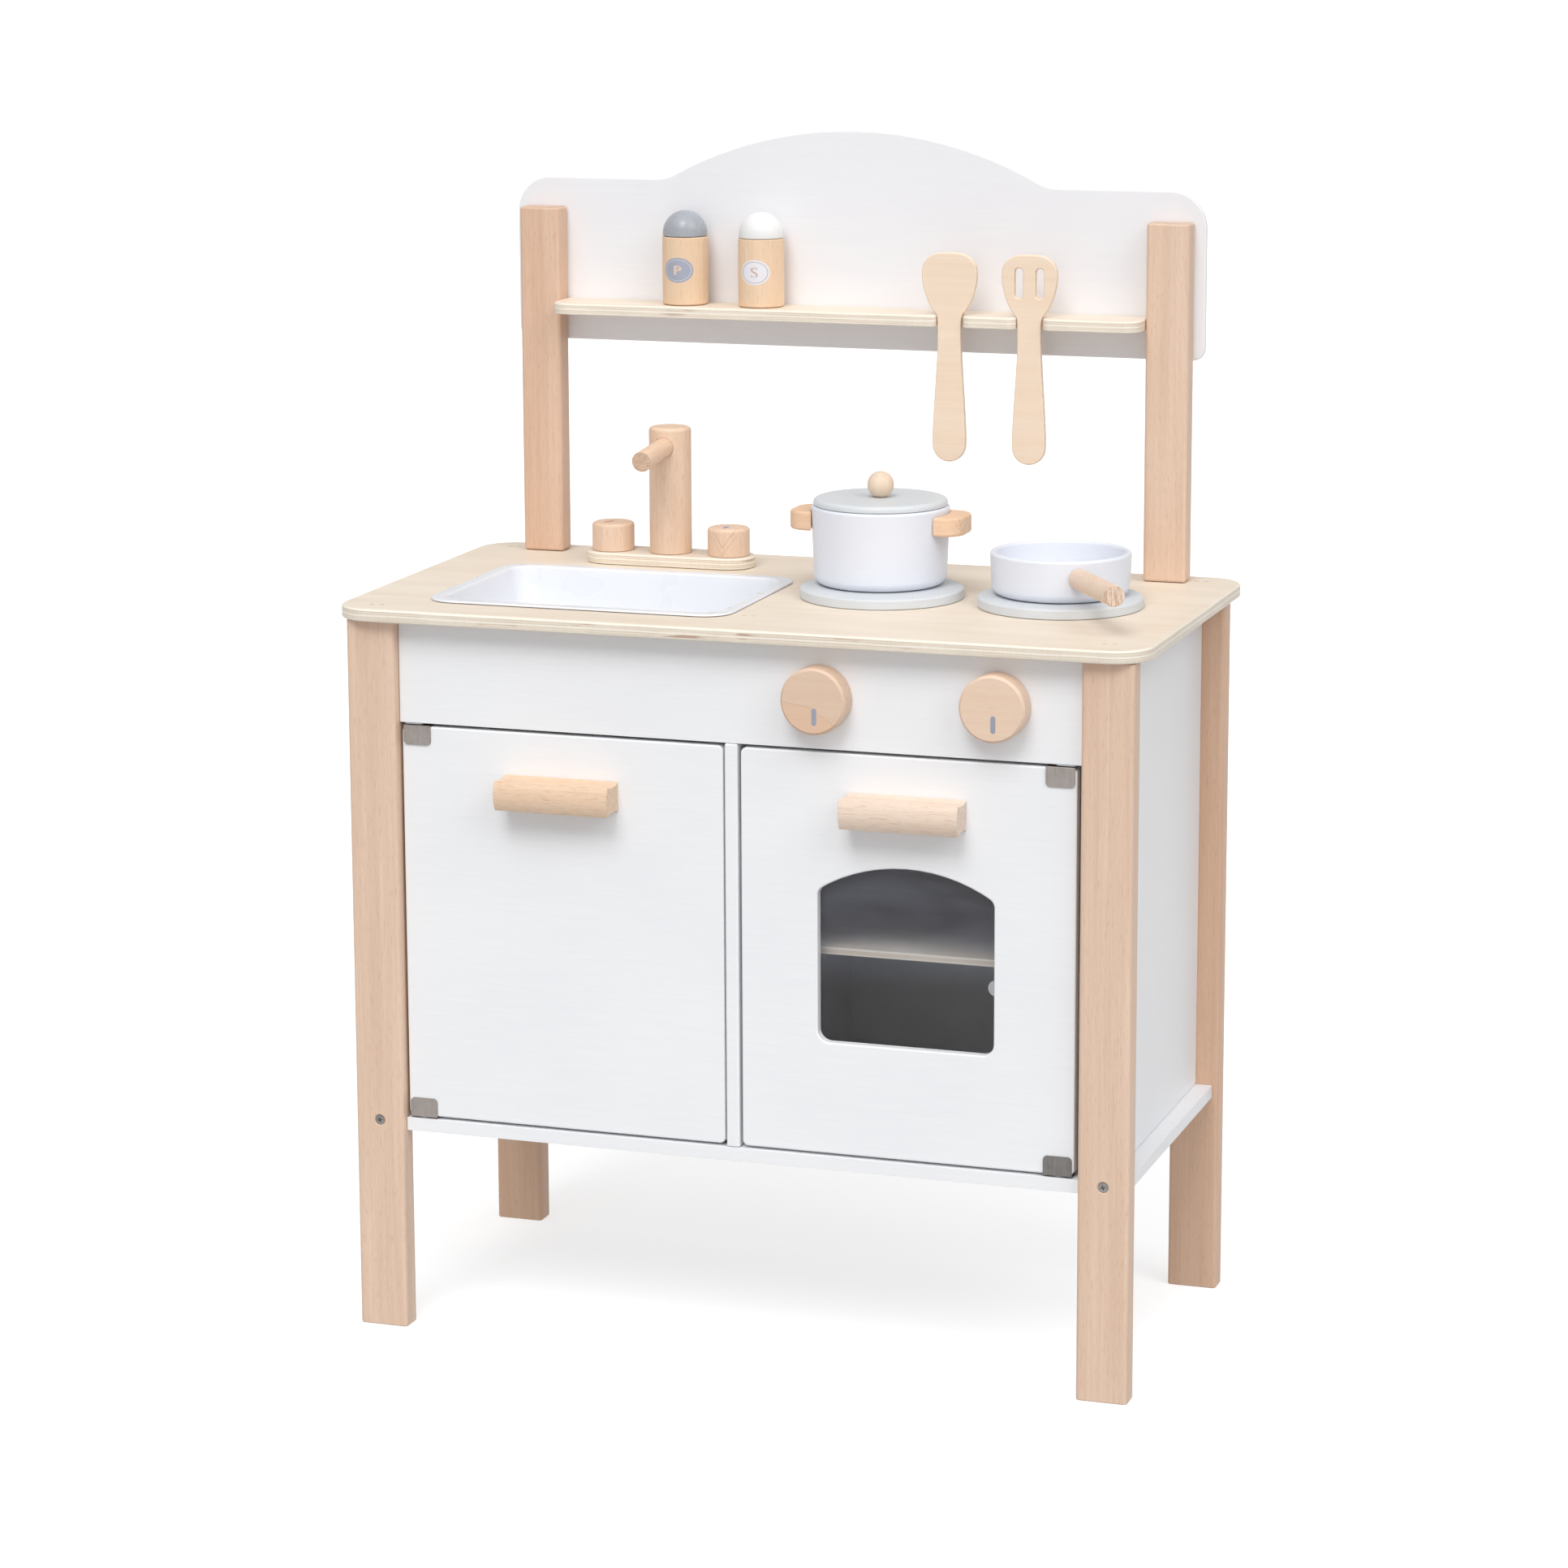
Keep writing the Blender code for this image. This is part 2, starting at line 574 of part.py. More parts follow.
def build_control_knobs():
    """Turned knobs on the fascia, each on a dowel with a retaining collar behind the panel."""
    forwards = STANDING["y"]
    bore, bore_depth, chamfer = 0.0043, 0.0093, 0.0015
    knob = [(0, KNOB_DEPTH), (KNOB_RADIUS - chamfer, KNOB_DEPTH), (KNOB_RADIUS, KNOB_DEPTH - chamfer),
            (KNOB_RADIUS, 0.0006), (KNOB_RADIUS - 0.0006, 0), (bore, 0), (bore, bore_depth), (0, bore_depth)]
    behind = PLY + 2 * GAP
    collar = 0.003
    stem = 0.0040
    tail = behind + collar + 0.0055
    shaft = [(0, bore_depth - GAP), (stem, bore_depth - GAP), (stem, -behind), (0.009, -behind),
             (0.009, -behind - collar), (stem, -behind - collar), (stem, -tail), (0, -tail)]
    for side, x, z in zip(("left", "right"), KNOB_X, KNOB_Z):
        base = (x, DOOR_Y - GAP, z)
        turned(f"control_knob_{side}", PALE_WOOD, knob, base, forwards, 32)
        turned(f"knob_shaft_{side}", BEECH, shaft, base, forwards, 16)


def build_tap():
    """A swivelling tap post between two turning knobs, on one plywood base."""
    base_z = TOP_Z + GAP
    seat_z = base_z + TAP_BASE_THICK + GAP
    half_width = 0.0185
    half_length = TAP_PITCH + half_width
    outline = rectangle((TAP_X - half_length, TAP_X + half_length), (TAP_Y - half_width, TAP_Y + half_width),
                        half_width * 0.999, arc_steps=8)
    centres = [(TAP_X + i * TAP_PITCH, TAP_Y) for i in (-1, 0, 1)]
    sockets = [circle(centre, 0.0050) for centre in centres]
    plate("faucet_base", PLYWOOD, [outline, *sockets], "z", (base_z, base_z + TAP_BASE_THICK))

    height = TAP_POST_TOP_Z - seat_z
    spigot = [(0.0047, 0, 0), (0.0047, -0.0075, 0), (0, -0.0075, 0)]
    post = [(0, height, 0), (TAP_RADIUS, height, 0.003), (TAP_RADIUS, 0, 0), *spigot]
    column = turned("faucet_post", BEECH, rounded(post, closed=False), (TAP_X, TAP_Y, seat_z))
    knob = [(0, 0.0194, 0), (TAP_RADIUS, 0.0194, 0.0012), (TAP_RADIUS, 0, 0), *spigot]
    knob = rounded(knob, closed=False, arc_steps=2)
    turned("tap_knob_hot", BEECH, knob, (*centres[0], seat_z), steps=24)
    turned("tap_knob_cold", BEECH, knob, (*centres[2], seat_z), steps=24)

    forwards = Matrix.Rotation(pi / 2 + SPOUT_DROP, 4, "X")
    buried = 0.007
    root = Vector((TAP_X, TAP_Y, SPOUT_Z)) + forwards @ Vector((0, 0, buried))
    length = SPOUT_REACH / cos(SPOUT_DROP) - buried
    spout = turned("faucet_spout", PALE_WOOD, rod_profile(SPOUT_RADIUS, length, 0.0004), root, forwards, 20)
    clearance = rod_profile(SPOUT_RADIUS + GAP, length)
    socket = turned("spout_socket", BEECH, clearance, root - forwards @ Vector((0, 0, GAP)), forwards, 20)
    cut(column, socket)
    spout.parent = column
    spout.matrix_parent_inverse = column.matrix_world.inverted()


# ---------------------------------------------------------------- sink, hob and cookware

def ring_points(half_x, half_y, radius, z):
    outline = rectangle((-half_x, half_x), (-half_y, half_y), radius, arc_steps=5)
    return [(p.x, p.y, z) for p in outline]


def build_sink():
    """A pressed bowl: an open surface from rim to floor, thickened downwards."""
    half_x, half_y = SINK_SIZE[0] / 2, SINK_SIZE[1] / 2
    rings = [(0.0000, 0.0200, 0.0), (0.0080, 0.0165, 0.0), (0.0090, 0.0158, -0.0008),
             (0.0094, 0.0154, -0.0022), (0.0165, 0.0150, -0.0385), (0.0190, 0.0140, -0.0435),
             (0.0240, 0.0100, -SINK_DEPTH)]
    work = bmesh.new()
    loops = []
    for inset, radius, z in rings:
        points = ring_points(half_x - inset, half_y - inset, radius, z)
        loops.append([work.verts.new(p) for p in points])
    for outer, inner in zip(loops, loops[1:]):
        for i in range(len(outer)):
            j = (i + 1) % len(outer)
            work.faces.new((outer[i], outer[j], inner[j], inner[i]))
    work.faces.new(loops[-1])
    mesh = bpy.data.meshes.new("sink_basin")
    work.to_mesh(mesh)
    work.free()
    rim_z = TOP_Z + GAP + SINK_WALL
    place = Matrix.Translation((SINK_X, SINK_Y, rim_z))
    sink = add_piece("sink_basin", mesh, WHITE_PLASTIC, place, smooth=True)
    wall = sink.modifiers.new("wall", "SOLIDIFY")
    wall.thickness = SINK_WALL
    wall.offset = -1
    wall.use_even_offset = True


def build_hob():
    ease = 0.0010
    disc = [(0, HOB_THICK), (HOB_RADIUS - ease, HOB_THICK), (HOB_RADIUS, HOB_THICK - ease),
            (HOB_RADIUS, 0), (0, 0)]
    for side, x in zip(("left", "right"), HOB_X):
        turned(f"hob_disc_{side}", GREY, disc, (x, HOB_Y, TOP_Z + GAP))


HOB_TOP_Z = TOP_Z + GAP + HOB_THICK + GAP


def vessel_profile(radius, foot_radius, height, corner):
    """A turned vessel with a rounded foot, an eased rim and a thick floor."""
    wall = VESSEL_WALL
    floor = 0.005
    line = [(0, floor, 0), (foot_radius - wall, floor, 0.004), (radius - wall, height, 0.0012),
            (radius, height, 0.0012), (foot_radius, 0, corner), (0, 0, 0)]
    return rounded(line, closed=False, arc_steps=3)


def build_pot():
    x, y = POT_CENTRE
    turned("pot_body", WHITE, vessel_profile(POT_RADIUS, 0.0446, POT_HEIGHT, 0.0065), (x, y, HOB_TOP_Z))

    low, high = 0.0360, 0.0490
    for side, sign in {"left": -1, "right": 1}.items():
        near, far, half = sign * 0.0385, sign * (POT_RADIUS + 0.0144), 0.020
        corners = [(near, -half, 0), (far, -half, 0.014), (far, half, 0.014), (near, half, 0)]
        outline = [(x + p[0], y + p[1]) for p in rounded(corners)]
        grip = plate(f"pot_handle_{side}", PALE_WOOD, [outline], "z", (HOB_TOP_Z + low, HOB_TOP_Z + high))
        clearance = rod_profile(POT_RADIUS + GAP, 0.04)
        hollow = turned(f"pot_clearance_{side}", WHITE, clearance, (x, y, HOB_TOP_Z + low - 0.01))
        cut(grip, hollow)

    lid_z = HOB_TOP_Z + POT_HEIGHT + GAP
    plug, thick = 0.0415, 0.0045
    lid = [(0, thick, 0), (POT_RADIUS - 0.0016, thick, 0.003), (POT_RADIUS - 0.0016, 0, 0), (plug, 0, 0),
           (plug, -0.0045, 0), (0, -0.0045, 0)]
    turned("pot_lid", GREY, rounded(lid, closed=False, arc_steps=3), (x, y, lid_z), steps=32)

    ball, centre_z = 0.0090, 0.0083
    foot = -pi / 2 + (ball ** 2 - centre_z ** 2) ** 0.5 / ball
    angles = [pi / 2 + (foot - pi / 2) * i / 8 for i in range(9)]
    sphere = [(max(ball * cos(a), 0.0), centre_z + ball * sin(a)) for a in angles]
    sphere[0] = (0, centre_z + ball)
    turned("pot_lid_knob", PALE_WOOD, [*sphere, (0, sphere[-1][1])], (x, y, lid_z + thick + GAP), steps=20)


def build_pan():
    x, y = PAN_CENTRE
    turned("pan_body", WHITE, vessel_profile(PAN_RADIUS, 0.0458, PAN_HEIGHT, 0.0065), (x, y, HOB_TOP_Z))
    axis = Matrix.Rotation(PAN_HANDLE_AZIMUTH, 4, "Z") @ Matrix.Rotation(pi / 2 - PAN_HANDLE_RISE, 4, "X")
    axis_z = HOB_TOP_Z + 0.0152
    start = 0.0440
    handle = turned("pan_handle", PALE_WOOD, rod_profile(0.007, PAN_HANDLE_LENGTH + PAN_RADIUS - start, 0.0004),
                    Vector((x, y, axis_z)) + axis @ Vector((0, 0, start)), axis, 20)
    hollow = turned("pan_clearance", WHITE, rod_profile(PAN_RADIUS + GAP, 0.05), (x, y, axis_z - 0.025))
    cut(handle, hollow)


# ---------------------------------------------------------------- shakers and utensils

def build_shakers():
    socket, depth = 0.0083, 0.0060
    body = rounded([(0, SHAKER_BODY_HEIGHT - depth, 0), (socket, SHAKER_BODY_HEIGHT - depth, 0),
                    (socket, SHAKER_BODY_HEIGHT, 0), (SHAKER_RADIUS, SHAKER_BODY_HEIGHT, 0.0006),
                    (SHAKER_RADIUS, 0, 0.0012), (0, 0, 0)], closed=False, arc_steps=2)
    dome = SHAKER_RADIUS
    straight = 0.0016
    cap = [(dome * cos(a), straight + dome * sin(a)) for a in [pi / 2 * (1 - i / 6) for i in range(7)]]
    cap[0] = (0, straight + dome)
    cap += [(dome, 0), (socket - GAP, 0), (socket - GAP, -depth + 2 * GAP), (0, -depth + 2 * GAP)]
    base_z = SHELF_TOP_Z + GAP
    for name, x, paint in (("pepper", SHAKER_X[0], SLATE), ("salt", SHAKER_X[1], WHITE)):
        turned(f"{name}_body", PALE_WOOD, body, (x, SHAKER_Y, base_z), steps=24)
        turned(f"{name}_cap", paint, cap, (x, SHAKER_Y, base_z + SHAKER_BODY_HEIGHT + GAP), steps=24)


def utensil_outline(centre_x):
    """A flat utensil head up: half widths at heights from the shelf's top, mirrored about its middle."""
    head = [(0.0422, 0.0090), (0.0410, 0.0125), (0.0389, 0.0155), (0.0360, 0.0177), (0.0329, 0.0190),
            (0.0259, 0.0195), (0.0199, 0.0186), (0.0099, 0.0155), (0.0029, 0.0115), (0.0000, 0.0090)]
    stem = [(-0.0041, 0.00825), (-0.0201, 0.00825), (-0.0520, 0.0102), (-0.0831, 0.0117)]
    end_radius = 0.0116
    end = arc((0, -0.1008 + end_radius), end_radius, 0, -pi / 2, 5)
    right = [Vector((0, 0.0427))] + [Vector((width, z)) for z, width in head + stem] + end
    left = [Vector((-p.x, p.y)) for p in reversed(right[1:-1])]
    return [Vector((centre_x + p.x, SHELF_TOP_Z + p.y)) for p in reversed(right + left)]


def build_utensils():
    y = (UTENSIL_Y - UTENSIL_THICK / 2, UTENSIL_Y + UTENSIL_THICK / 2)
    spatula_x, turner_x = SLOT_X[0] - 0.0005, SLOT_X[1] - 0.0005
    plate("spatula", PALE_WOOD, [utensil_outline(spatula_x)], "y", y)
    slots = []
    for offset in (-0.0074, 0.0074):
        x = (turner_x + offset - 0.003, turner_x + offset + 0.003)
        slots.append(rectangle(x, (SHELF_TOP_Z + 0.0129, SHELF_TOP_Z + 0.0334), 0.0029, arc_steps=3))
    plate("slotted_turner", PALE_WOOD, [utensil_outline(turner_x), *slots], "y", y)


def build():
    build_legs()
    build_cabinet()
    build_leg_screws()
    build_fascia()
    build_worktop()
    build_upper_frame()
    build_shelf()
    build_doors()
    build_control_knobs()
    build_tap()
    build_sink()
    build_hob()
    build_pot()
    build_pan()
    build_shakers()
    build_utensils()


build()
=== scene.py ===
"""Detailed visual model of the toy kitchen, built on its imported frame.

Metres, +Z up, X to the right and Y to the rear.  Every piece is made in place, so object coordinates
in the materials are places on the kitchen, and the grain moves with each piece.
"""

import json
from math import atan2, cos, pi, radians, sin, sqrt

import bmesh
import bpy
from mathutils import Matrix, Vector


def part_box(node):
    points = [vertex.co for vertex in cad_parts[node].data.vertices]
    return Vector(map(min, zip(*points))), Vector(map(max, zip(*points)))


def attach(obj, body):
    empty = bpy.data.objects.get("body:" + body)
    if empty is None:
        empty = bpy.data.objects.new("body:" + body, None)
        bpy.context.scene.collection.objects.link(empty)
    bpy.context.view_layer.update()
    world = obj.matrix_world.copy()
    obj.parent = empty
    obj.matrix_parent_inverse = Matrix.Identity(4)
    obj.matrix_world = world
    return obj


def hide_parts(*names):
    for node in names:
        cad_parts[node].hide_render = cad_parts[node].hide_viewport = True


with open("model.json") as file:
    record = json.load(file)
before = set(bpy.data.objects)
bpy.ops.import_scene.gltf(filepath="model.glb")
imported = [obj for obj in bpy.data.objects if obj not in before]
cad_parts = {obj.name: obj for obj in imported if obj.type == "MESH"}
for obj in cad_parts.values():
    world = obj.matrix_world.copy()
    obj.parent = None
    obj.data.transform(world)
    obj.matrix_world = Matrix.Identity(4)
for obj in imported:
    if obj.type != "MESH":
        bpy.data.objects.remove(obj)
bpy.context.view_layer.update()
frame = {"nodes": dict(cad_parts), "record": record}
BODY_OF = {node: body for body, nodes in frame["record"]["behaviour"]["bodies"].items() for node in nodes}
AXES = {"x": 0, "y": 1, "z": 2}


# ---------------------------------------------------------------- materials

def srgb(red, green, blue):
    """A display colour, 0 to 255, as linear light."""
    def linear(value):
        value /= 255
        return value / 12.92 if value <= 0.04045 else ((value + 0.055) / 1.055) ** 2.4
    return (linear(red), linear(green), linear(blue), 1.0)


BLACK, FULL = (0.0, 0.0, 0.0, 1.0), (1.0, 1.0, 1.0, 1.0)


class Graph:
    """A material's nodes, with short calls for the kinds used here."""

    def __init__(self, name, **sockets):
        self.material = bpy.data.materials.new(name)
        self.material.use_nodes = True
        self.nodes = self.material.node_tree.nodes
        self.links = self.material.node_tree.links
        self.shader = self.nodes["Principled BSDF"]
        coords = self.nodes.new("ShaderNodeTexCoord")
        self.place = coords.outputs["Object"]
        self.facing = coords.outputs["Normal"]
        for socket, value in sockets.items():
            self.set(socket, value)

    def put(self, socket, value):
        if hasattr(value, "is_output"):
            self.links.new(value, socket)
        else:
            socket.default_value = value

    def set(self, name, value):
        self.put(self.shader.inputs[name], value)

    def add(self, kind, **inputs):
        """A new node, with each input set to a value or joined to another node."""
        node = self.nodes.new("ShaderNode" + kind)
        for name, value in inputs.items():
            self.put(node.inputs[name.replace("_", " ")], value)
        return node

    def noise(self, scale, offset=(0, 0, 0), tilt=0.0, detail=2, distortion=0.0):
        """Soft noise from 0 to 1, with its own scale along each axis so that it can follow the grain."""
        if tilt:
            scale = tuple(1 / max(value, 0.001) for value in scale)
        places = self.add("Mapping", Vector=self.place, Location=offset, Rotation=(0, tilt, 0), Scale=scale)
        places.vector_type = "TEXTURE" if tilt else "POINT"
        node = self.add("TexNoise", Vector=places.outputs["Vector"], Scale=1.0, Detail=detail, Roughness=0.5,
                        Distortion=distortion)
        return node.outputs["Fac"]

    def span(self, value, low, high, to_low=0.0, to_high=1.0):
        """A value's place between two limits, clamped."""
        node = self.add("MapRange", Value=value, From_Min=low, From_Max=high, To_Min=to_low, To_Max=to_high)
        return node.outputs["Result"]

    def calc(self, operation, first, second=0.0):
        node = self.nodes.new("ShaderNodeMath")
        node.operation = operation
        self.put(node.inputs[0], first)
        self.put(node.inputs[1], second)
        return node.outputs["Value"]

    def times(self, first, second):
        return self.calc("MULTIPLY", first, second)

    def plus(self, first, second):
        return self.calc("ADD", first, second)

    def minus(self, first, second):
        return self.calc("SUBTRACT", first, second)

    def total(self, *terms):
        """The sum of some values, each times its own share."""
        result = self.times(*terms[0])
        for value, share in terms[1:]:
            result = self.plus(result, self.times(value, share))
        return result

    def part(self, vector, axis):
        return self.add("SeparateXYZ", Vector=vector).outputs[axis.upper()]

    def blend(self, factor, first, second):
        node = self.add("Mix", Factor=factor)
        node.data_type = "RGBA"
        self.put(node.inputs[6], first)
        self.put(node.inputs[7], second)
        return node.outputs[2]

    def ramp(self, factor, stops):
        node = self.add("ValToRGB", Fac=factor)
        band = node.color_ramp
        while len(band.elements) < len(stops):
            band.elements.new(0.5)
        for element, (place, colour) in zip(band.elements, stops):
            element.position = place
            element.color = colour
        return node.outputs["Color"]

    def bump(self, height, depth):
        """Relief from a 0 to 1 height, with its real depth in metres."""
        self.set("Normal", self.add("Bump", Strength=1.0, Distance=depth, Height=height).outputs["Normal"])


def along(grain, across, lengthways):
    """Scales that are fine across the grain and long along it."""
    return tuple(lengthways if axis == grain else across for axis in "xyz")


def wood(name, light, dark, grain, fleck=0.0, figure=0.5, end=0.90, roughness=0.5, seed=0.0,
         growth=None, tilt=0.0, mark=None):
    """Planed, lacquered wood: growth figure, fine fibre, short flecks and darker end grain."""
    g = Graph(name, Roughness=roughness)
    shift = (seed, seed * 0.7, seed * 1.3)
    wavy = g.noise(along(grain, 70, 3.2), shift, detail=3, distortion=0.6)
    fibre = g.noise(along(grain, 900, 14), shift)
    streak = g.noise(along(grain, 260, 7), shift)
    tone = g.total((wavy, figure), (streak, 0.30), (fibre, 0.28))
    colour = g.blend(g.span(tone, 0.22 + figure * 0.28, 0.42 + figure * 0.72), dark, light)
    if fleck:
        dashes = g.noise(along(grain, 2200, 120), shift, detail=1)
        spots = g.span(dashes, 0.58, 0.72, 0.0, fleck)
        colour = g.blend(spots, colour, srgb(182, 140, 110))
    facing = g.calc("ABSOLUTE", g.part(g.facing, grain))
    cut = g.span(facing, 0.60, 0.85)
    pores = g.noise((900, 900, 900))
    rings = g.noise((420, 60, 420) if grain == "y" else (60, 420, 420))
    end_tone = g.total((pores, 0.5), (rings, 0.5))
    end_dark = tuple(end * 0.90 * c for c in dark[:3]) + (1.0,)
    end_light = tuple(end * c for c in light[:3]) + (1.0,)
    end_colour = g.blend(g.span(end_tone, 0.35, 0.65), end_dark, end_light)
    if growth:
        drawn = g.noise(growth, shift, tilt)
        end_colour = g.blend(g.span(drawn, 0.44, 0.60, 0.0, 0.75), end_colour, srgb(190, 150, 122))
    if mark:
        colour, end_colour = mark(g, colour), mark(g, end_colour)
    g.set("Base Color", g.blend(cut, colour, end_colour))
    g.set("Roughness", g.span(fibre, 0.3, 0.7, roughness - 0.06, roughness + 0.08))
    g.bump(g.total((fibre, 0.6), (streak, 0.4)), 0.00006)
    return g.material


def plywood(name, across, low, high, grain, face_light, face_dark, plies=5, roughness=0.45):
    """Birch plywood: a veneer's figure on the face and its layers at every cut edge."""
    g = Graph(name, Roughness=roughness)
    wavy = g.noise(along(grain, 42, 5.0), detail=3, distortion=1.2)
    fibre = g.noise(along(grain, 700, 16))
    cloud = g.noise((16, 16, 16))
    tone = g.total((wavy, 0.5), (fibre, 0.22), (cloud, 0.28))
    face = g.blend(g.span(tone, 0.36, 0.64), face_dark, face_light)

    level = g.part(g.place, across)
    level = g.plus(level, g.times(g.noise((26, 26, 26), detail=1), 0.0004))
    height = g.span(level, low + 0.0002, high + 0.0002)
    lines, crossed = [(0.0, BLACK)], [(0.0, BLACK)]
    for ply in range(1, plies):
        edge = ply / plies
        lines += [(edge - 0.045, BLACK), (edge, FULL), (edge + 0.045, BLACK)]
        before, after = (FULL, BLACK) if ply % 2 == 0 else (BLACK, FULL)
        crossed += [(edge - 0.02, before), (edge + 0.02, after)]
    lines, crossed = g.ramp(height, lines), g.ramp(height, crossed)
    drift = (18, 18, 110) if across == "z" else (18, 110, 18)
    worn = g.noise(drift, detail=3)
    broken = g.noise(tuple(1.7 * d for d in drift), (5, 3, 1))
    pale, darker = srgb(246, 238, 224), srgb(232, 220, 203)
    layers = g.blend(crossed, pale, darker)
    glue = g.times(lines, g.span(broken, 0.36, 0.60, 0.15, 0.75))
    layers = g.blend(glue, layers, srgb(190, 168, 146))
    knots = g.times(g.span(worn, 0.62, 0.68), crossed)
    layers = g.blend(g.times(knots, 0.85), layers, srgb(176, 138, 118))
    saw = g.noise((1400, 1400, 90) if across == "z" else (1400, 90, 1400), detail=1)
    layers = g.blend(g.span(saw, 0.48, 0.7, 0.0, 0.14), layers, srgb(200, 180, 158))
    facing = g.calc("ABSOLUTE", g.part(g.facing, across))
    g.set("Base Color", g.blend(g.span(facing, 0.62, 0.9), layers, face))
    g.set("Roughness", g.span(fibre, 0.3, 0.7, roughness - 0.06, roughness + 0.10))
    g.bump(fibre, 0.00004)
    return g.material


def paint(name, colour, shade, roughness=0.42, relief=0.00003, grain="x"):
    """Sprayed paint over wood: faint clouding, fine orange peel and a hint of the grain below."""
    g = Graph(name, Roughness=roughness)
    cloud = g.noise((9, 9, 9), detail=3)
    peel = g.noise((620, 620, 620))
    below = g.noise(along(grain, 520, 24))
    tone = g.total((cloud, 0.6), (below, 0.4))
    g.set("Base Color", g.blend(g.span(tone, 0.35, 0.65), shade, colour))
    g.set("Roughness", g.span(peel, 0.35, 0.65, roughness - 0.05, roughness + 0.07))
    g.bump(g.total((peel, 0.6), (below, 0.5)), relief)
    return g.material


def ink_paint(name, colour, shade):
    """Thin printed ink, with clouding down to some share of its colour."""
    return paint(name, colour, tuple(shade * v for v in colour[:3]) + (1.0,), relief=0.00001)


def plastic(name, colour, shade, roughness=0.28):
    """Moulded plastic with a faint matt texture."""
    g = Graph(name, Roughness=roughness)
    haze = g.noise((22, 22, 22))
    grit = g.noise((1500, 1500, 1500), detail=1)
    g.set("Base Color", g.blend(g.span(haze, 0.35, 0.65), shade, colour))
    g.set("Roughness", g.span(haze, 0.3, 0.7, roughness - 0.04, roughness + 0.06))
    g.bump(grit, 0.00001)
    return g.material


def brushed(name, colour, shade, grain, roughness=0.34):
    """Brushed sheet steel, with its scratches along one axis."""
    g = Graph(name, Metallic=1.0, Roughness=roughness)
    lines = g.noise(along(grain, 3800, 60))
    haze = g.noise((160, 160, 160))
    tone = g.total((lines, 0.7), (haze, 0.3))
    g.set("Base Color", g.blend(g.span(tone, 0.35, 0.65), shade, colour))
    g.set("Roughness", g.span(lines, 0.3, 0.7, roughness - 0.08, roughness + 0.12))
    g.bump(lines, 0.00001)
    return g.material


def smoked(name):
    """Smoke-tinted acrylic with a few faint smears; its colour is the smoke tint darkened as painted shade
    below the oven shelf's height and lightened as painted light above it.
    """
    g = Graph(name, Roughness=0.05, IOR=1.49, Alpha=0.14)
    smear = g.noise((14, 14, 36), detail=3, distortion=0.8)
    painted_light_smears = g.blend(g.span(smear, 0.35, 0.65), srgb(98, 104, 122), srgb(146, 152, 170))
    # Painted shade of the oven's inside below the shelf's height, painted light with smears above it.
    g.set("Base Color", g.blend(g.span(g.part(g.place, "z"), 0.264, 0.292), srgb(30, 28, 36), painted_light_smears))
    g.set("Roughness", g.span(smear, 0.35, 0.75, 0.04, 0.10))
    return g.material


def dark_heart(g, colour):
    """A darker wedge of older wood under two growth lines that meet beside the knob's marker."""
    x = g.minus(g.part(g.place, "x"), 0.0590)
    z = g.minus(g.part(g.place, "z"), 0.4512)
    fall = g.times(g.calc("MAXIMUM", x, 0.0), 0.70)
    climb = g.times(g.calc("MAXIMUM", g.times(x, -1.0), 0.0), -0.17)
    under = g.plus(z, g.plus(fall, climb))
    inside = g.span(under, 0.0002, -0.0003)
    line = g.times(g.span(g.calc("ABSOLUTE", under), 0.0005, 0.0001), 0.35)
    tinted = g.blend(g.times(inside, 0.45), colour, srgb(224, 184, 150))
    return g.blend(line, tinted, srgb(186, 150, 124))


def cathedral(g, colour):
    """Nested pointed growth lines on the front of the cold tap's knob."""
    x = g.calc("ABSOLUTE", g.minus(g.part(g.place, "x"), -0.0778))
    z = g.minus(g.part(g.place, "z"), 0.5150)
    bend = g.times(g.noise((180, 180, 180), detail=1), 0.0030)
    wave = g.plus(g.minus(z, g.times(x, 1.5)), bend)
    near = g.span(g.calc("ABSOLUTE", g.minus(wave, 0.0012)), 0.0007, 0.0002)
    wider = g.span(g.calc("ABSOLUTE", g.plus(wave, 0.0040)), 0.0010, 0.0003, 0.0, 0.5)
    lines = g.times(g.calc("MAXIMUM", near, wider), 0.50)
    return g.blend(g.times(lines, g.span(x, 0.0110, 0.0070)), colour, srgb(184, 140, 112))


# Each wood has a light and a dark tone and the axis of its grain.
BEECH_LIGHT, BEECH_DARK = srgb(234, 207, 185), srgb(217, 184, 159)
LEG_WOOD = wood("beech_upright", BEECH_LIGHT, BEECH_DARK, "z", fleck=0.34, figure=0.45)
# A darker copy of the legs' beech for the rear legs: painted shade from under the cabinet.
SHADED_REAR_WOOD = wood("beech_rear_upright_painted_shade", srgb(226, 192, 166), srgb(210, 170, 141), "z", fleck=0.34, figure=0.45,
                 seed=2.3)
POST_WOOD = wood("beech_left_post", srgb(228, 197, 173), srgb(213, 175, 148), "z", fleck=0.40, figure=0.45,
                 seed=4.4)
TAP_LIGHT, TAP_DARK = srgb(238, 211, 187), srgb(222, 188, 160)
TAP_WOOD = wood("beech_tap", TAP_LIGHT, TAP_DARK, "z", fleck=0.40, figure=0.6, seed=3.1, end=1.06)
COLD_WOOD = wood("beech_cold_tap", TAP_LIGHT, TAP_DARK, "z", fleck=0.3, seed=5.2, end=1.06,
                 mark=cathedral)
RAIL_WOOD = wood("beech_lengthways", srgb(239, 212, 185), srgb(224, 190, 160), "x", fleck=0.55,
                 end=0.94)
PALE_RAIL = wood("pale_beech_lengthways", srgb(240, 222, 205), srgb(227, 203, 183), "x", fleck=0.45,
                 end=0.94, seed=6.1)
KNOB_LIGHT, KNOB_DARK = srgb(238, 212, 190), srgb(229, 199, 175)
KNOB_WOOD = wood("beech_knob", KNOB_LIGHT, KNOB_DARK, "x", fleck=0.15, figure=0.3, end=1.0)
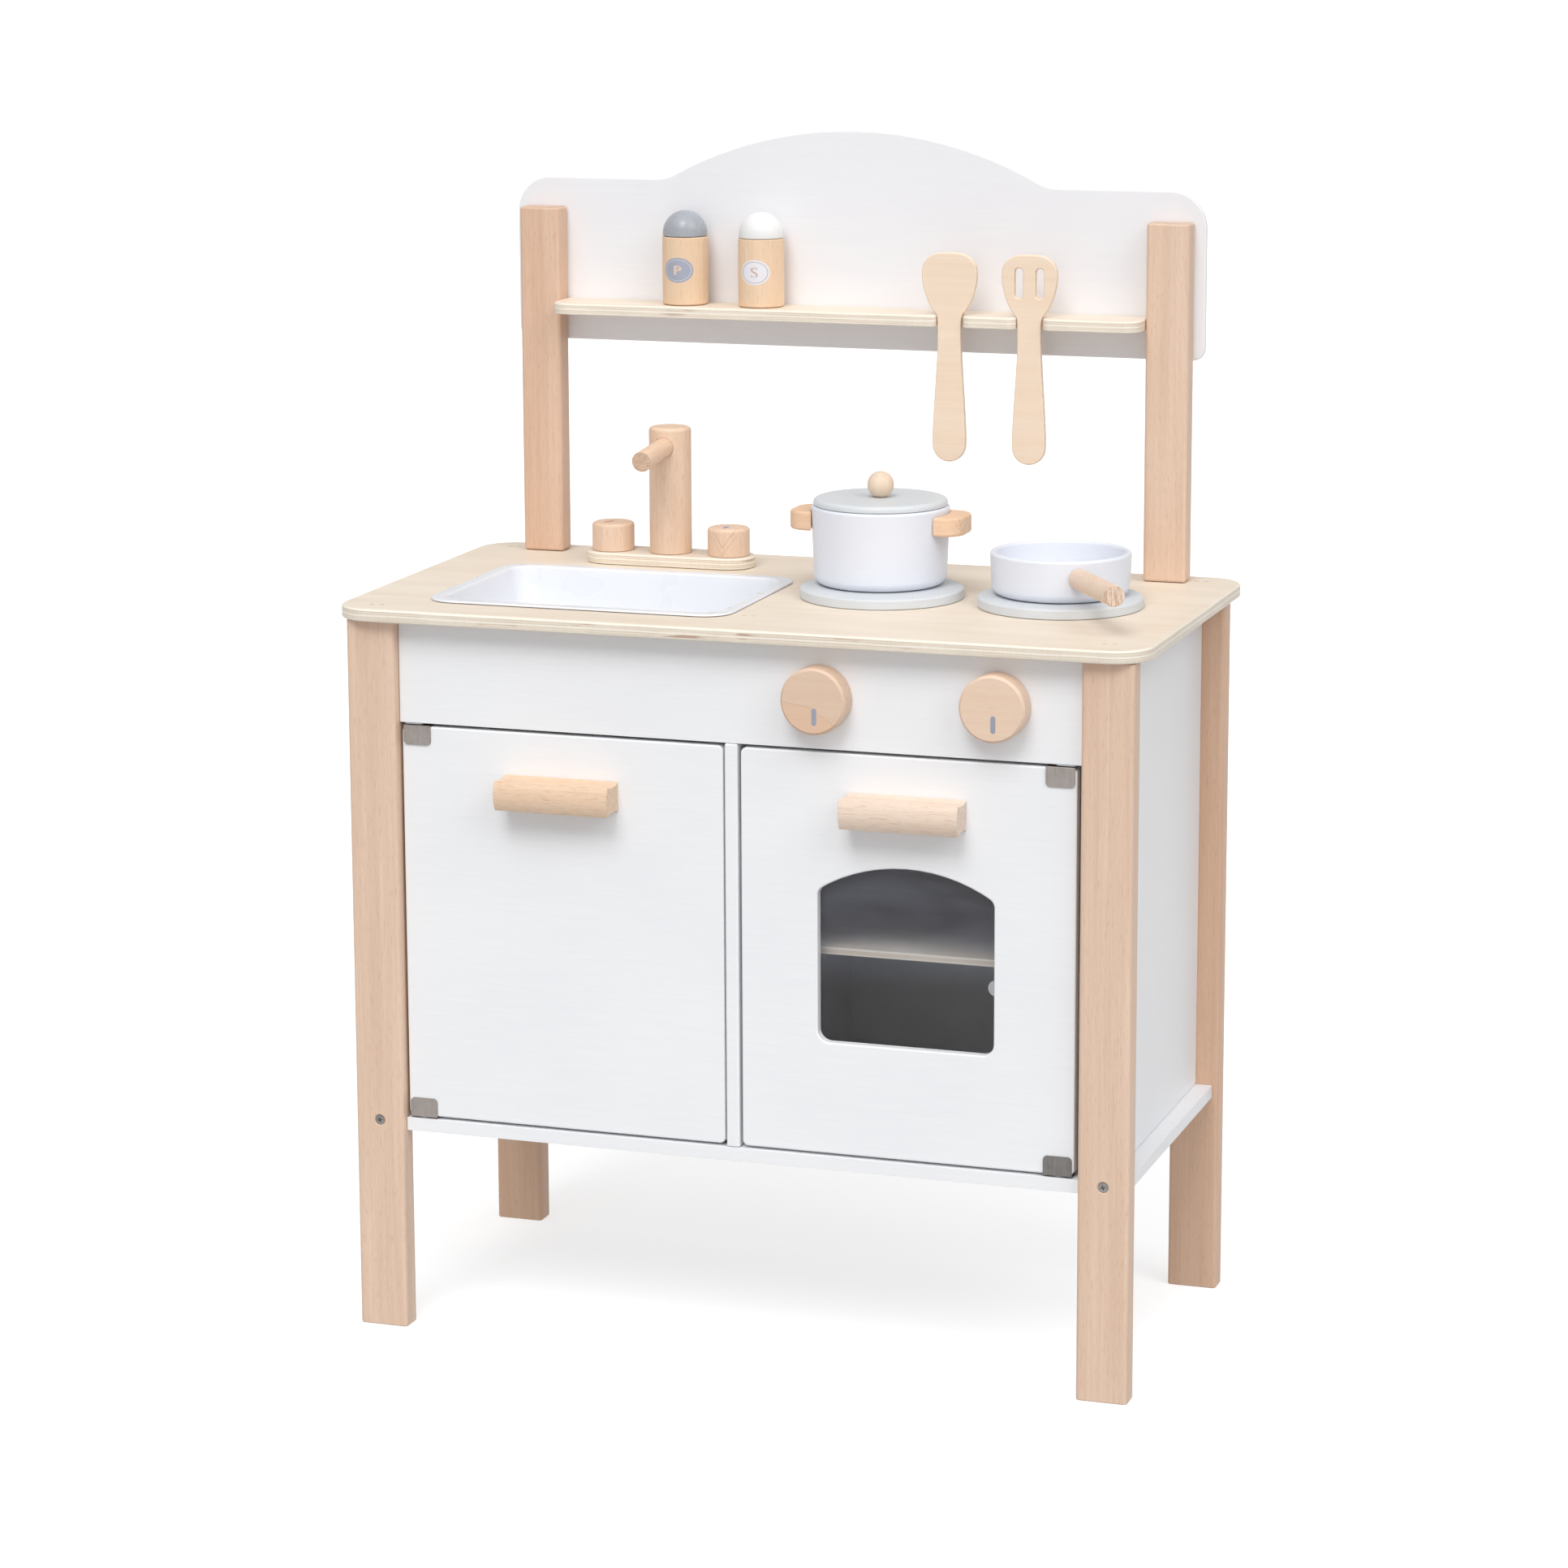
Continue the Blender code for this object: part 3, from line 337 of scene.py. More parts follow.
HEART_WOOD = wood("beech_heart_knob", srgb(228, 201, 179), srgb(219, 188, 163), "x", fleck=0.15, figure=0.3,
                  end=1.0, seed=1.7, mark=dark_heart)
SPOUT_WOOD = wood("beech_spout", srgb(240, 210, 184), srgb(226, 190, 160), "y", fleck=0.35,
                  end=0.84, growth=(160, 1, 900), tilt=-0.35)
PAN_WOOD = wood("beech_pan_handle", srgb(243, 223, 205), srgb(231, 204, 180), "y", fleck=0.40,
                end=0.92, growth=(900, 900, 120))
DOWEL_WOOD = wood("beech_dowel", srgb(238, 212, 186), srgb(226, 194, 164), "y", fleck=0.12,
                  end=0.88)
EAR_WOOD = wood("beech_ears", srgb(240, 207, 176), srgb(226, 186, 152), "x", fleck=0.22, end=0.97)
BALL_WOOD = wood("birch_ball", srgb(236, 215, 193), srgb(224, 199, 174), "z", fleck=0.12, end=1.0)
SHAKER_WOOD = wood("birch_turned", srgb(240, 213, 183), srgb(229, 195, 161), "z", fleck=0.25)
SPOON_WOOD = wood("birch_utensil", srgb(245, 226, 206), srgb(236, 210, 184), "x", figure=0.55, end=0.97)
WHITE = paint("white_paint", srgb(243, 244, 246), srgb(239, 240, 243))
# A darker copy of the white paint for the backboard: painted shade.
SHADED_BACKBOARD_WHITE = paint("backboard_white_painted_shade", srgb(238, 238, 241), srgb(235, 235, 239))
POT_WHITE = paint("pot_enamel_paint", srgb(230, 233, 241), srgb(226, 229, 238), roughness=0.34)
GREY = paint("grey_paint", srgb(215, 219, 222), srgb(209, 213, 217), roughness=0.40)
SLATE = paint("slate_paint", srgb(166, 170, 176), srgb(156, 160, 167), roughness=0.30)
SALT_WHITE = paint("salt_cap_paint", srgb(234, 234, 233), srgb(230, 230, 229), roughness=0.40)
SINK_WHITE = plastic("sink_plastic", srgb(233, 235, 240), srgb(229, 231, 237))
CLEAR_WHITE = plastic("bearing_plastic", srgb(226, 230, 232), srgb(212, 217, 220))
STEEL = brushed("brushed_steel", srgb(160, 153, 149), srgb(138, 131, 127), "z")
SCREW_STEEL = brushed("zinc_steel", srgb(150, 148, 146), srgb(112, 110, 108), "x", roughness=0.4)
DARK_STEEL = brushed("dark_brushed_steel", srgb(126, 123, 120), srgb(104, 102, 99), "z")
SMOKED = smoked("smoked_acrylic")
MARK_GREY = paint("marker_ink", srgb(158, 160, 174), srgb(151, 153, 166), relief=0.00001)


# ---------------------------------------------------------------- outlines

def rounded(corners, closed=True, steps=10):
    """A 2D line whose corners (x, y, radius) are turned into arcs."""
    points = []
    count = len(corners)
    for i, (x, y, radius) in enumerate(corners):
        here = Vector((x, y))
        if radius == 0 or (not closed and i in (0, count - 1)):
            points.append(here)
            continue
        before = (Vector(corners[i - 1][:2]) - here).normalized()
        after = (Vector(corners[(i + 1) % count][:2]) - here).normalized()
        half = before.angle(after) / 2
        centre = here + (before + after).normalized() * (radius / sin(half))
        start = here + before * (radius * cos(half) / sin(half)) - centre
        end = here + after * (radius * cos(half) / sin(half)) - centre
        turn = start.angle_signed(end)
        points += [centre + Matrix.Rotation(-turn * k / steps, 2) @ start for k in range(steps + 1)]
    return points


def arc(centre, radius, start, end, steps):
    angles = [start + (end - start) * i / steps for i in range(steps + 1)]
    return [Vector((centre[0] + radius * cos(a), centre[1] + radius * sin(a))) for a in angles]


def rectangle(x, y, radius, steps=10):
    corners = [(x[0], y[0], radius), (x[1], y[0], radius), (x[1], y[1], radius), (x[0], y[1], radius)]
    return rounded(corners, steps=steps)


def circle(centre, radius, steps=64):
    return arc(centre, radius, 0, 2 * pi * (steps - 1) / steps, steps - 1)


def flowing(points, steps=6):
    """A smooth curve through points."""
    result = []
    last = len(points) - 1
    for i in range(last):
        p0, p1 = Vector(points[max(i - 1, 0)]), Vector(points[i])
        p2, p3 = Vector(points[i + 1]), Vector(points[min(i + 2, last)])
        for k in range(steps):
            t = k / steps
            result.append(0.5 * (2 * p1 + (p2 - p0) * t + (2 * p0 - 5 * p1 + 4 * p2 - p3) * t ** 2
                                 + (3 * p1 - p0 - 3 * p2 + p3) * t ** 3))
    result.append(Vector(points[-1]))
    return result


# ---------------------------------------------------------------- pieces

def finish(name, mesh, material, body, nodes=(), sharp=35):
    """Make a mesh a named piece of the kitchen that stands for some CAD nodes."""
    mesh.name = name
    mesh.materials.clear()
    mesh.materials.append(material)
    mesh.shade_smooth()
    mesh.set_sharp_from_angle(angle=radians(sharp))
    piece = bpy.data.objects.new(name, mesh)
    bpy.context.scene.collection.objects.link(piece)
    even = piece.modifiers.new("even_normals", "WEIGHTED_NORMAL")
    even.keep_sharp = True
    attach(piece, body)
    if nodes:
        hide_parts(*nodes)
    return piece


def taken(guide):
    """An object's evaluated mesh, in world coordinates, and the object removed."""
    bpy.context.view_layer.update()
    graph = bpy.context.evaluated_depsgraph_get()
    mesh = bpy.data.meshes.new_from_object(guide.evaluated_get(graph))
    mesh.transform(guide.matrix_world)
    bpy.data.objects.remove(guide)
    return mesh


def guide_object(data, place=Matrix.Identity(4)):
    guide = bpy.data.objects.new("guide", data)
    guide.matrix_world = place
    bpy.context.scene.collection.objects.link(guide)
    return guide


def mesh_from(work, name):
    """A new mesh from a bmesh, which it frees."""
    mesh = bpy.data.meshes.new(name)
    work.to_mesh(mesh)
    work.free()
    return mesh


def block(size, centre=(0, 0, 0)):
    """A box as a bmesh."""
    work = bmesh.new()
    bmesh.ops.create_cube(work, size=1.0)
    bmesh.ops.scale(work, vec=size, verts=work.verts)
    bmesh.ops.translate(work, vec=centre, verts=work.verts)
    return work


def middle_of(node):
    low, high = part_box(node)
    return (low + high) / 2


def round_box(node):
    """The box of an upright round node: its corners, its centre and its radius."""
    low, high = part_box(node)
    return low, high, (low + high) / 2, (high.x - low.x) / 2


# Turns that lay a flat outline across an axis.  The one across y also points a turned piece's top at the
# front, and REARWARDS points it at the rear.
STANDING = {
    "x": Matrix(((0, 0, 1, 0), (1, 0, 0, 0), (0, 1, 0, 0), (0, 0, 0, 1))),
    "y": Matrix.Rotation(pi / 2, 4, "X"),
    "z": Matrix.Identity(4),
}
REARWARDS = Matrix.Rotation(-pi / 2, 4, "X")


def plate_mesh(outlines, across, limits, ease):
    """A flat plate with eased edges.  The first outline is its edge and the others are holes."""
    thickness = limits[1] - limits[0]
    ease = min(ease, thickness * 0.49)
    curve = bpy.data.curves.new("plate", "CURVE")
    curve.dimensions = "2D"
    curve.fill_mode = "BOTH"
    curve.extrude = thickness / 2 - ease
    curve.bevel_depth = ease
    curve.bevel_resolution = 3
    curve.offset = -ease
    for outline in outlines:
        spline = curve.splines.new("POLY")
        spline.points.add(len(outline) - 1)
        for point, place in zip(spline.points, outline):
            point.co = (place[0], place[1], 0, 1)
        spline.use_cyclic_u = True
    middle = Vector((0, 0, 0))
    middle[AXES[across]] = sum(limits) / 2
    mesh = taken(guide_object(curve, Matrix.Translation(middle) @ STANDING[across]))
    work = bmesh.new()
    work.from_mesh(mesh)
    bmesh.ops.remove_doubles(work, verts=work.verts, dist=0.000002)
    bmesh.ops.recalc_face_normals(work, faces=work.faces)
    work.to_mesh(mesh)
    work.free()
    return mesh


def plate(name, node, material, outlines, across, ease):
    """A plate between a CAD node's own faces."""
    low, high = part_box(node)
    axis = AXES[across]
    mesh = plate_mesh(outlines, across, (low[axis], high[axis]), ease)
    return finish(name, mesh, material, BODY_OF[node], [node])


def bar(name, node, material, grain, radius, end_radius, tools=()):
    """A planed bar in a CAD node's box, with rounded arrises and slightly eased ends."""
    low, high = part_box(node)
    work = block(high - low, (low + high) / 2)
    axis = AXES[grain]
    long = [e for e in work.edges if abs((e.verts[0].co - e.verts[1].co).normalized()[axis]) > 0.9]
    bmesh.ops.bevel(work, geom=long, offset=radius, segments=5, profile=0.5, affect="EDGES")
    ends = [f for f in work.faces if abs(f.normal[axis]) > 0.9]
    rims = list({e for f in ends for e in f.edges})
    bmesh.ops.bevel(work, geom=rims, offset=end_radius, segments=3, profile=0.5, affect="EDGES")
    mesh = mesh_from(work, name)
    if tools:
        mesh = carved(mesh, tools)
    return finish(name, mesh, material, BODY_OF[node], [node])


def carved(mesh, tools, operation="DIFFERENCE"):
    """A mesh with other meshes cut out of it, or trimmed to them."""
    guide = guide_object(mesh)
    cutters = [guide_object(tool) for tool in tools]
    for cutter in cutters:
        step = guide.modifiers.new("cut", "BOOLEAN")
        step.operation = operation
        step.solver = "EXACT"
        step.object = cutter
    result = taken(guide)
    for cutter in cutters:
        bpy.data.objects.remove(cutter)
    return result


def eased_copy(name, node, material, ease, segments=3):
    """A CAD node's own shape with its sharp edges eased."""
    work = bmesh.new()
    work.from_mesh(frame["nodes"][node].data)
    bmesh.ops.remove_doubles(work, verts=work.verts, dist=0.00001)
    bmesh.ops.dissolve_limit(work, angle_limit=radians(1), verts=work.verts, edges=work.edges)
    edges = [e for e in work.edges if len(e.link_faces) == 2 and e.calc_face_angle() > radians(40)]
    bmesh.ops.bevel(work, geom=edges, offset=ease, segments=segments, profile=0.5, affect="EDGES",
                    clamp_overlap=True)
    return finish(name, mesh_from(work, name), material, BODY_OF[node], [node])


def turned_mesh(profile, place, steps=96):
    """A turned body from a profile (radius, height) that runs down its outer side."""
    mesh = bpy.data.meshes.new("turned")
    edges = [(i, i + 1) for i in range(len(profile) - 1)]
    mesh.from_pydata([(p[0], 0, p[1]) for p in profile], edges, [])
    guide = guide_object(mesh, place)
    screw = guide.modifiers.new("turn", "SCREW")
    screw.steps = steps
    screw.render_steps = steps
    screw.use_merge_vertices = True
    screw.merge_threshold = 0.000002
    return taken(guide)


def turned(name, node, material, corners, place, steps=96, per_corner=5):
    """A turned piece whose profile corners (radius, height, rounding) are eased."""
    profile = rounded(corners, closed=False, steps=per_corner)
    if not isinstance(place, Matrix):
        place = Matrix.Translation(Vector(place))
    mesh = turned_mesh(profile, place, steps)
    return finish(name, mesh, material, BODY_OF[node], [node])


# ---------------------------------------------------------------- frame and cabinet

def screw_profile(radius=0.0038, depth=0.0030):
    """A countersunk head, flat on top, running down to a short shank."""
    return [(0, 0, 0), (radius, 0, 0.0003), (0.0014, -depth, 0), (0.0014, -depth - 0.004, 0),
            (0, -depth - 0.004, 0)]


def screw_head_mesh(place, radius=0.0038):
    """A countersunk cross-head screw, with its cross sunk in the face."""
    head = turned_mesh(rounded(screw_profile(radius), closed=False, steps=3), place, 40)
    slots = []
    for turn in (0.3, 0.3 + pi / 2):
        work = block((radius * 1.15, radius * 0.24, 0.0030))
        for vert in work.verts:
            if vert.co.z < 0:
                vert.co.x *= 0.45
                vert.co.y *= 0.7
        slot = mesh_from(work, "slot")
        slot.transform(place @ Matrix.Rotation(turn, 4, "Z") @ Matrix.Translation((0, 0, 0.0002)))
        slots.append(slot)
    return carved(head, slots)


def build_frame():
    for depth in ("front", "rear"):
        for side in ("left", "right"):
            node = f"leg_{depth}_{side}"
            tools = []
            if depth == "front":
                screw = middle_of(f"leg_screw_{side}")
                low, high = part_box(node)
                place = Matrix.Translation((screw.x, low.y, screw.z)) @ STANDING["y"]
                seat = [(0, 0.003), (0.0071, 0.003), (0.0014, -0.0027), (0.0014, -0.0095), (0, -0.0095)]
                tools.append(turned_mesh(seat, place, 40))
                head = screw_head_mesh(place @ Matrix.Translation((0, 0, -0.0003)))
                finish(f"cross_head_screw_{side}", head, SCREW_STEEL, "cabinet",
                       [f"leg_screw_{side}"])
            # The rear legs take the darker copy of the beech, painted shade from under the cabinet.
            grain = LEG_WOOD if depth == "front" else SHADED_REAR_WOOD
            bar(f"beech_leg_{depth}_{side}", node, grain, "z", 0.0026, 0.0010, tools)
    for side in ("left", "right"):
        grain = POST_WOOD if side == "left" else LEG_WOOD
        bar(f"beech_post_{side}", f"post_{side}", grain, "z", 0.0026, 0.0018)
        eased_copy(f"side_board_{side}", f"side_panel_{side}", WHITE, 0.0008)
        eased_copy(f"magnet_case_{side}", f"door_catch_{side}", SINK_WHITE, 0.0010)
        for level in ("upper", "lower"):
            eased_copy(f"bearing_{side}_{level}", f"pivot_plate_{side}_{level}", CLEAR_WHITE, 0.0001,
                       1)
    eased_copy("floor_board", "bottom_board", WHITE, 0.0009)
    eased_copy("back_sheet", "cabinet_back", WHITE, 0.0004)
    eased_copy("divider_board", "centre_divider", WHITE, 0.0012)
    eased_copy("fascia_board", "fascia_panel", WHITE, 0.0007)
    low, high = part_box("oven_shelf")
    inner = plywood("birch_ply_oven", "z", low.z, high.z, "x", srgb(249, 244, 236), srgb(240, 231, 219),
                    plies=3)
    eased_copy("oven_rack_board", "oven_shelf", inner, 0.0005)


COUNTER_FACE = (srgb(238, 226, 210), srgb(229, 213, 194))


def build_worktop():
    low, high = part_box("countertop")
    outline = rectangle((low.x, high.x), (low.y, high.y), 0.026, 24)
    sink_low, sink_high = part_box("sink_basin")
    margin = 0.0071
    hole = rectangle((sink_low.x + margin, sink_high.x - margin), (sink_low.y + margin, sink_high.y - margin),
                     0.0165, 12)
    ply = plywood("birch_ply_worktop", "z", low.z, high.z, "x", *COUNTER_FACE)
    plate("worktop_board", "countertop", ply, [outline, hole], "z", 0.0017)

    filler = paint("filler", srgb(226, 192, 166), srgb(212, 174, 148), relief=0.00002)
    for i, (x, y) in enumerate(((-0.2520, -0.1233), (-0.2537, 0.1285), (-0.0010, -0.0904),
                                (0.2500, -0.1171), (0.2505, 0.1286))):
        pair = []
        for shift in (-0.0034, 0.0034):
            centre = (x + shift, y + 0.15 * shift)
            dot = arc(centre, 0.0011, 0, 2 * pi * 15 / 16, 15)
            dot = [Vector((centre[0] + 1.7 * (p.x - centre[0]), p.y)) for p in dot]
            pair.append(plate_mesh([dot], "z", (high.z - 0.0002, high.z + 0.00006), 0.00002))
        finish(f"staple_fill_{i}", joined(pair), filler, "cabinet")


def joined(meshes):
    """Several meshes as one."""
    work = bmesh.new()
    for mesh in meshes:
        work.from_mesh(mesh)
    return mesh_from(work, "joined")


def build_backboard():
    low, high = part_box("backboard")
    half = high.x
    shoulder = 0.7646
    radius, blend = 0.279, 0.030
    crown_z = high.z - radius
    rise = shoulder + blend - crown_z
    reach = sqrt((radius + blend) ** 2 - rise ** 2)
    lean = atan2(reach, rise)
    right = rounded([(0, low.z, 0), (half, low.z, 0.0085), (half, shoulder, 0.025), (reach, shoulder, 0)],
                    closed=False, steps=16)[1:-1]
    right += arc((reach, shoulder + blend), blend, -pi / 2, -pi / 2 - lean, 8)
    crown = arc((0, crown_z), radius, pi / 2 - lean, pi / 2 + lean, 48)[1:-1]
    left = [Vector((-p.x, p.y)) for p in reversed(right)]
    # The backboard takes the darker copy of the white paint, painted shade.
    plate("arched_backboard", "backboard", SHADED_BACKBOARD_WHITE, [right + crown + left], "y", 0.0010)

    place = Matrix.Translation((0, high.y, 0)) @ REARWARDS
    heads = []
    for x in (-0.2269, 0.2269):
        for z in (0.668, 0.728):
            heads.append(screw_head_mesh(Matrix.Translation((x, 0, z)) @ place))
    finish("backboard_screws", joined(heads), SCREW_STEEL, "cabinet")


def build_utensil_shelf():
    low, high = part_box("utensil_shelf")
    corners = [(high.x, high.y, 0), (low.x, high.y, 0), (low.x, low.y, 0.012)]
    half, deep = 0.0095, low.y + 0.018
    for x in (0.0790, 0.1355):
        left, right = x - half, x + half
        corners += [(left, low.y, 0.006), (left, deep, 0.002), (right, deep, 0.002), (right, low.y, 0.006)]
    corners.append((high.x, low.y, 0.012))
    ply = plywood("birch_ply_shelf", "z", low.z, high.z, "x", *COUNTER_FACE)
    plate("utensil_rail", "utensil_shelf", ply, [rounded(corners, steps=8)], "z", 0.0011)


# ---------------------------------------------------------------- doors

PANE_MARGIN = 0.006


def window_line(low, high, margin=0.0):
    """The oven window's edge, from the pane's box.  The pane is wider than the opening by its margin."""
    centre = (low.x + high.x) / 2
    inset = PANE_MARGIN - margin
    half = (high.x - low.x) / 2 - inset
    foot, crown = low.z + inset, high.z - inset
    radius = 0.110 + margin
    reach = atan2(half, sqrt(radius ** 2 - half ** 2))
    head = arc((0, crown - radius), radius, pi / 2 - reach, pi / 2 + reach, 14)
    shoulder = head[0].y
    corners = [(half, foot, 0.008), (half, shoulder, 0.007)]
    corners += [(p.x, p.y, 0) for p in head[1:-1]]
    corners += [(-half, shoulder, 0.007), (-half, foot, 0.008)]
    return [Vector((centre + p.x, p.y)) for p in rounded(corners, steps=12)]


def handle_line(low, high):
    """A handle's end view: coved above and below with a bowed front.  x is depth and y is height."""
    half = (high.z - low.z) / 2
    centre = (high.z + low.z) / 2
    depth = high.y - low.y
    waist, bow = half - 0.0015, 0.0030
    cove = flowing([(0, half), (0.0022, waist + 0.0004), (0.0055, waist), (0.0130, waist),
                    (depth - bow - 0.0028, waist + 0.0004), (depth - bow, half)], 5)
    radius = (half ** 2 + bow ** 2) / (2 * bow)
    reach = atan2(half, radius - bow)
    front = arc((depth - radius, 0), radius, reach, -reach, 20)
    lower = [Vector((p.x, -p.y)) for p in reversed(cove)]
    return [Vector((high.y - p.x, centre + p.y)) for p in cove + front[1:-1] + lower]


def build_clip(side, level):
    """A folded steel clip over the door's edge, with rounded free corners and a soft fold."""
    node = f"door_{side}_clip_{level}"
    low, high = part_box(node)
    up = 1 if level == "upper" else -1
    sheet = 0.0007
    door_low, door_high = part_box(f"door_{side}")
    edge = door_high.z if up > 0 else door_low.z
    fold = edge + up * 0.0008
    free = edge - up * 0.0125
    rear = low.y + 0.0101
    profile = [(low.y, free, 0), (low.y + sheet, free, 0), (low.y + sheet, edge + up * 0.0003, 0),
               (rear, edge + up * 0.0003, 0), (rear, fold, 0), (low.y, fold, 0.0007)]
    body = plate_mesh([rounded(profile, steps=6)], "x", (low.x, high.x), 0.00012)
    corners = [(low.x, free, 0.003), (high.x, free, 0.003), (high.x, fold + up * 0.002, 0),
               (low.x, fold + up * 0.002, 0)]
    mask = plate_mesh([rounded(corners, steps=8)], "y", (low.y - 0.004, rear + 0.004), 0.00001)
    clip = carved(body, [mask], "INTERSECT")
    pin_low, pin_high = sorted((fold - up * 0.0003, fold + up * 0.0045))
    pin_place = Matrix.Translation(((low.x + high.x) / 2, low.y + 0.0056, pin_low))
    length = pin_high - pin_low
    profile = [(0, length), (0.0013, length), (0.0015, length - 0.0002), (0.0015, 0), (0, 0)]
    both = joined([clip, turned_mesh(profile, pin_place, 24)])
    shade = DARK_STEEL if (side, level) == ("right", "lower") else STEEL
    finish(f"folded_clip_{side}_{level}", both, shade, BODY_OF[node], [node], sharp=50)


def build_doors():
    pane_low, pane_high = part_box("oven_window")
    for side in ("left", "right"):
        node = f"door_{side}"
        low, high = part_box(node)
        outlines = [rectangle((low.x, high.x), (low.z, high.z), 0.0040, 8)]
        if side == "right":
            outlines.append(window_line(pane_low, pane_high))
        mesh = plate_mesh(outlines, "y", (low.y, high.y), 0.0012)
        if side == "right":
            seat = (pane_low.y - 0.0003, high.y + 0.001)
            rebate = window_line(pane_low, pane_high, PANE_MARGIN + 0.0003)
            mesh = carved(mesh, [plate_mesh([rebate], "y", seat, 0.00001)])
        finish(f"painted_door_{side}", mesh, WHITE, BODY_OF[node], [node])
        handle = f"door_{side}_handle"
        low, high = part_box(handle)
        grain = RAIL_WOOD if side == "left" else PALE_RAIL
        plate(f"moulded_handle_{side}", handle, grain, [handle_line(low, high)], "x", 0.0004)
        strike = f"strike_plate_{side}"
        centre = middle_of(strike)
        place = Matrix.Translation(centre) @ STANDING["y"]
        turned(f"strike_disc_{side}", strike, SCREW_STEEL, [(0, 0.0004, 0), (0.007, 0.0004, 0.0003),
               (0.007, -0.0004, 0), (0, -0.0004, 0)], place, 40, 3)
        build_clip(side, "upper")
        build_clip(side, "lower")
    # The pane's colour holds painted shade below the oven shelf's height and painted light above it.
    plate("smoked_pane", "oven_window", SMOKED, [window_line(pane_low, pane_high, PANE_MARGIN)], "y", 0.0003)
    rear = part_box("door_right")[1].y
    caps = []
    for x, z in ((pane_high.x - 0.0068, 0.268), (pane_low.x - 0.0020, 0.268),
                 (pane_high.x - 0.024, pane_high.z - 0.0030), (pane_low.x + 0.024, pane_high.z - 0.0030)):
        place = Matrix.Translation((x, rear, z)) @ REARWARDS
        dome = rounded([(0, 0.0035, 0), (0.0055, 0.0035, 0.0025), (0.0055, 0.0002, 0), (0, 0.0002, 0)],
                       closed=False, steps=6)
        caps.append(turned_mesh(dome, place, 40))
    finish("pane_screw_caps", joined(caps), SINK_WHITE, "door_right_leaf")


# ---------------------------------------------------------------- controls and tap

def stadium(centre, half_width, half_length, steps=12):
    x, y = centre
    top = arc((x, y + half_length - half_width), half_width, 0, pi, steps)
    bottom = arc((x, y - half_length + half_width), half_width, pi, 2 * pi, steps)
    return top + bottom


def build_controls():
    for side in ("left", "right"):
        node = f"control_knob_{side}"
        low, high, centre, radius = round_box(node)
        depth = high.y - low.y
        place = Matrix.Translation((centre.x, high.y, centre.z)) @ STANDING["y"]
        bevel, bore, bore_depth = 0.0016, 0.0043, 0.0093
        corners = [(0, depth, 0), (radius - bevel, depth, 0.0003), (radius, depth - bevel, 0.0004),
                   (radius, 0, 0.0005), (bore, 0, 0.0002), (bore, bore_depth, 0), (0, bore_depth, 0)]
        grain = HEART_WOOD if side == "left" else KNOB_WOOD
        turned(f"turned_control_{side}", node, grain, corners, place, 128, 4)
        mark = stadium((centre.x + 0.0012, centre.z - 0.0098), 0.00165, 0.00575)
        mesh = plate_mesh([mark], "y", (low.y - 0.00008, low.y + 0.0002), 0.00003)
        finish(f"control_mark_{side}", mesh, MARK_GREY, BODY_OF[node])
        shaft = f"knob_shaft_{side}"
        low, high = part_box(shaft)
        place = Matrix.Translation((centre.x, low.y, centre.z)) @ REARWARDS
        length = high.y - low.y
        dowel, collar = 0.004, 0.009
        collar_foot, collar_top = length - 0.0085, length - 0.0055
        corners = [(0, length, 0), (dowel, length, 0.0006), (dowel, collar_top, 0),
                   (collar, collar_top, 0.0006), (collar, collar_foot, 0.0006), (dowel, collar_foot, 0),
                   (dowel, 0, 0.0004), (0, 0, 0)]
        turned(f"dowel_shaft_{side}", shaft, DOWEL_WOOD, corners, place, 48, 3)


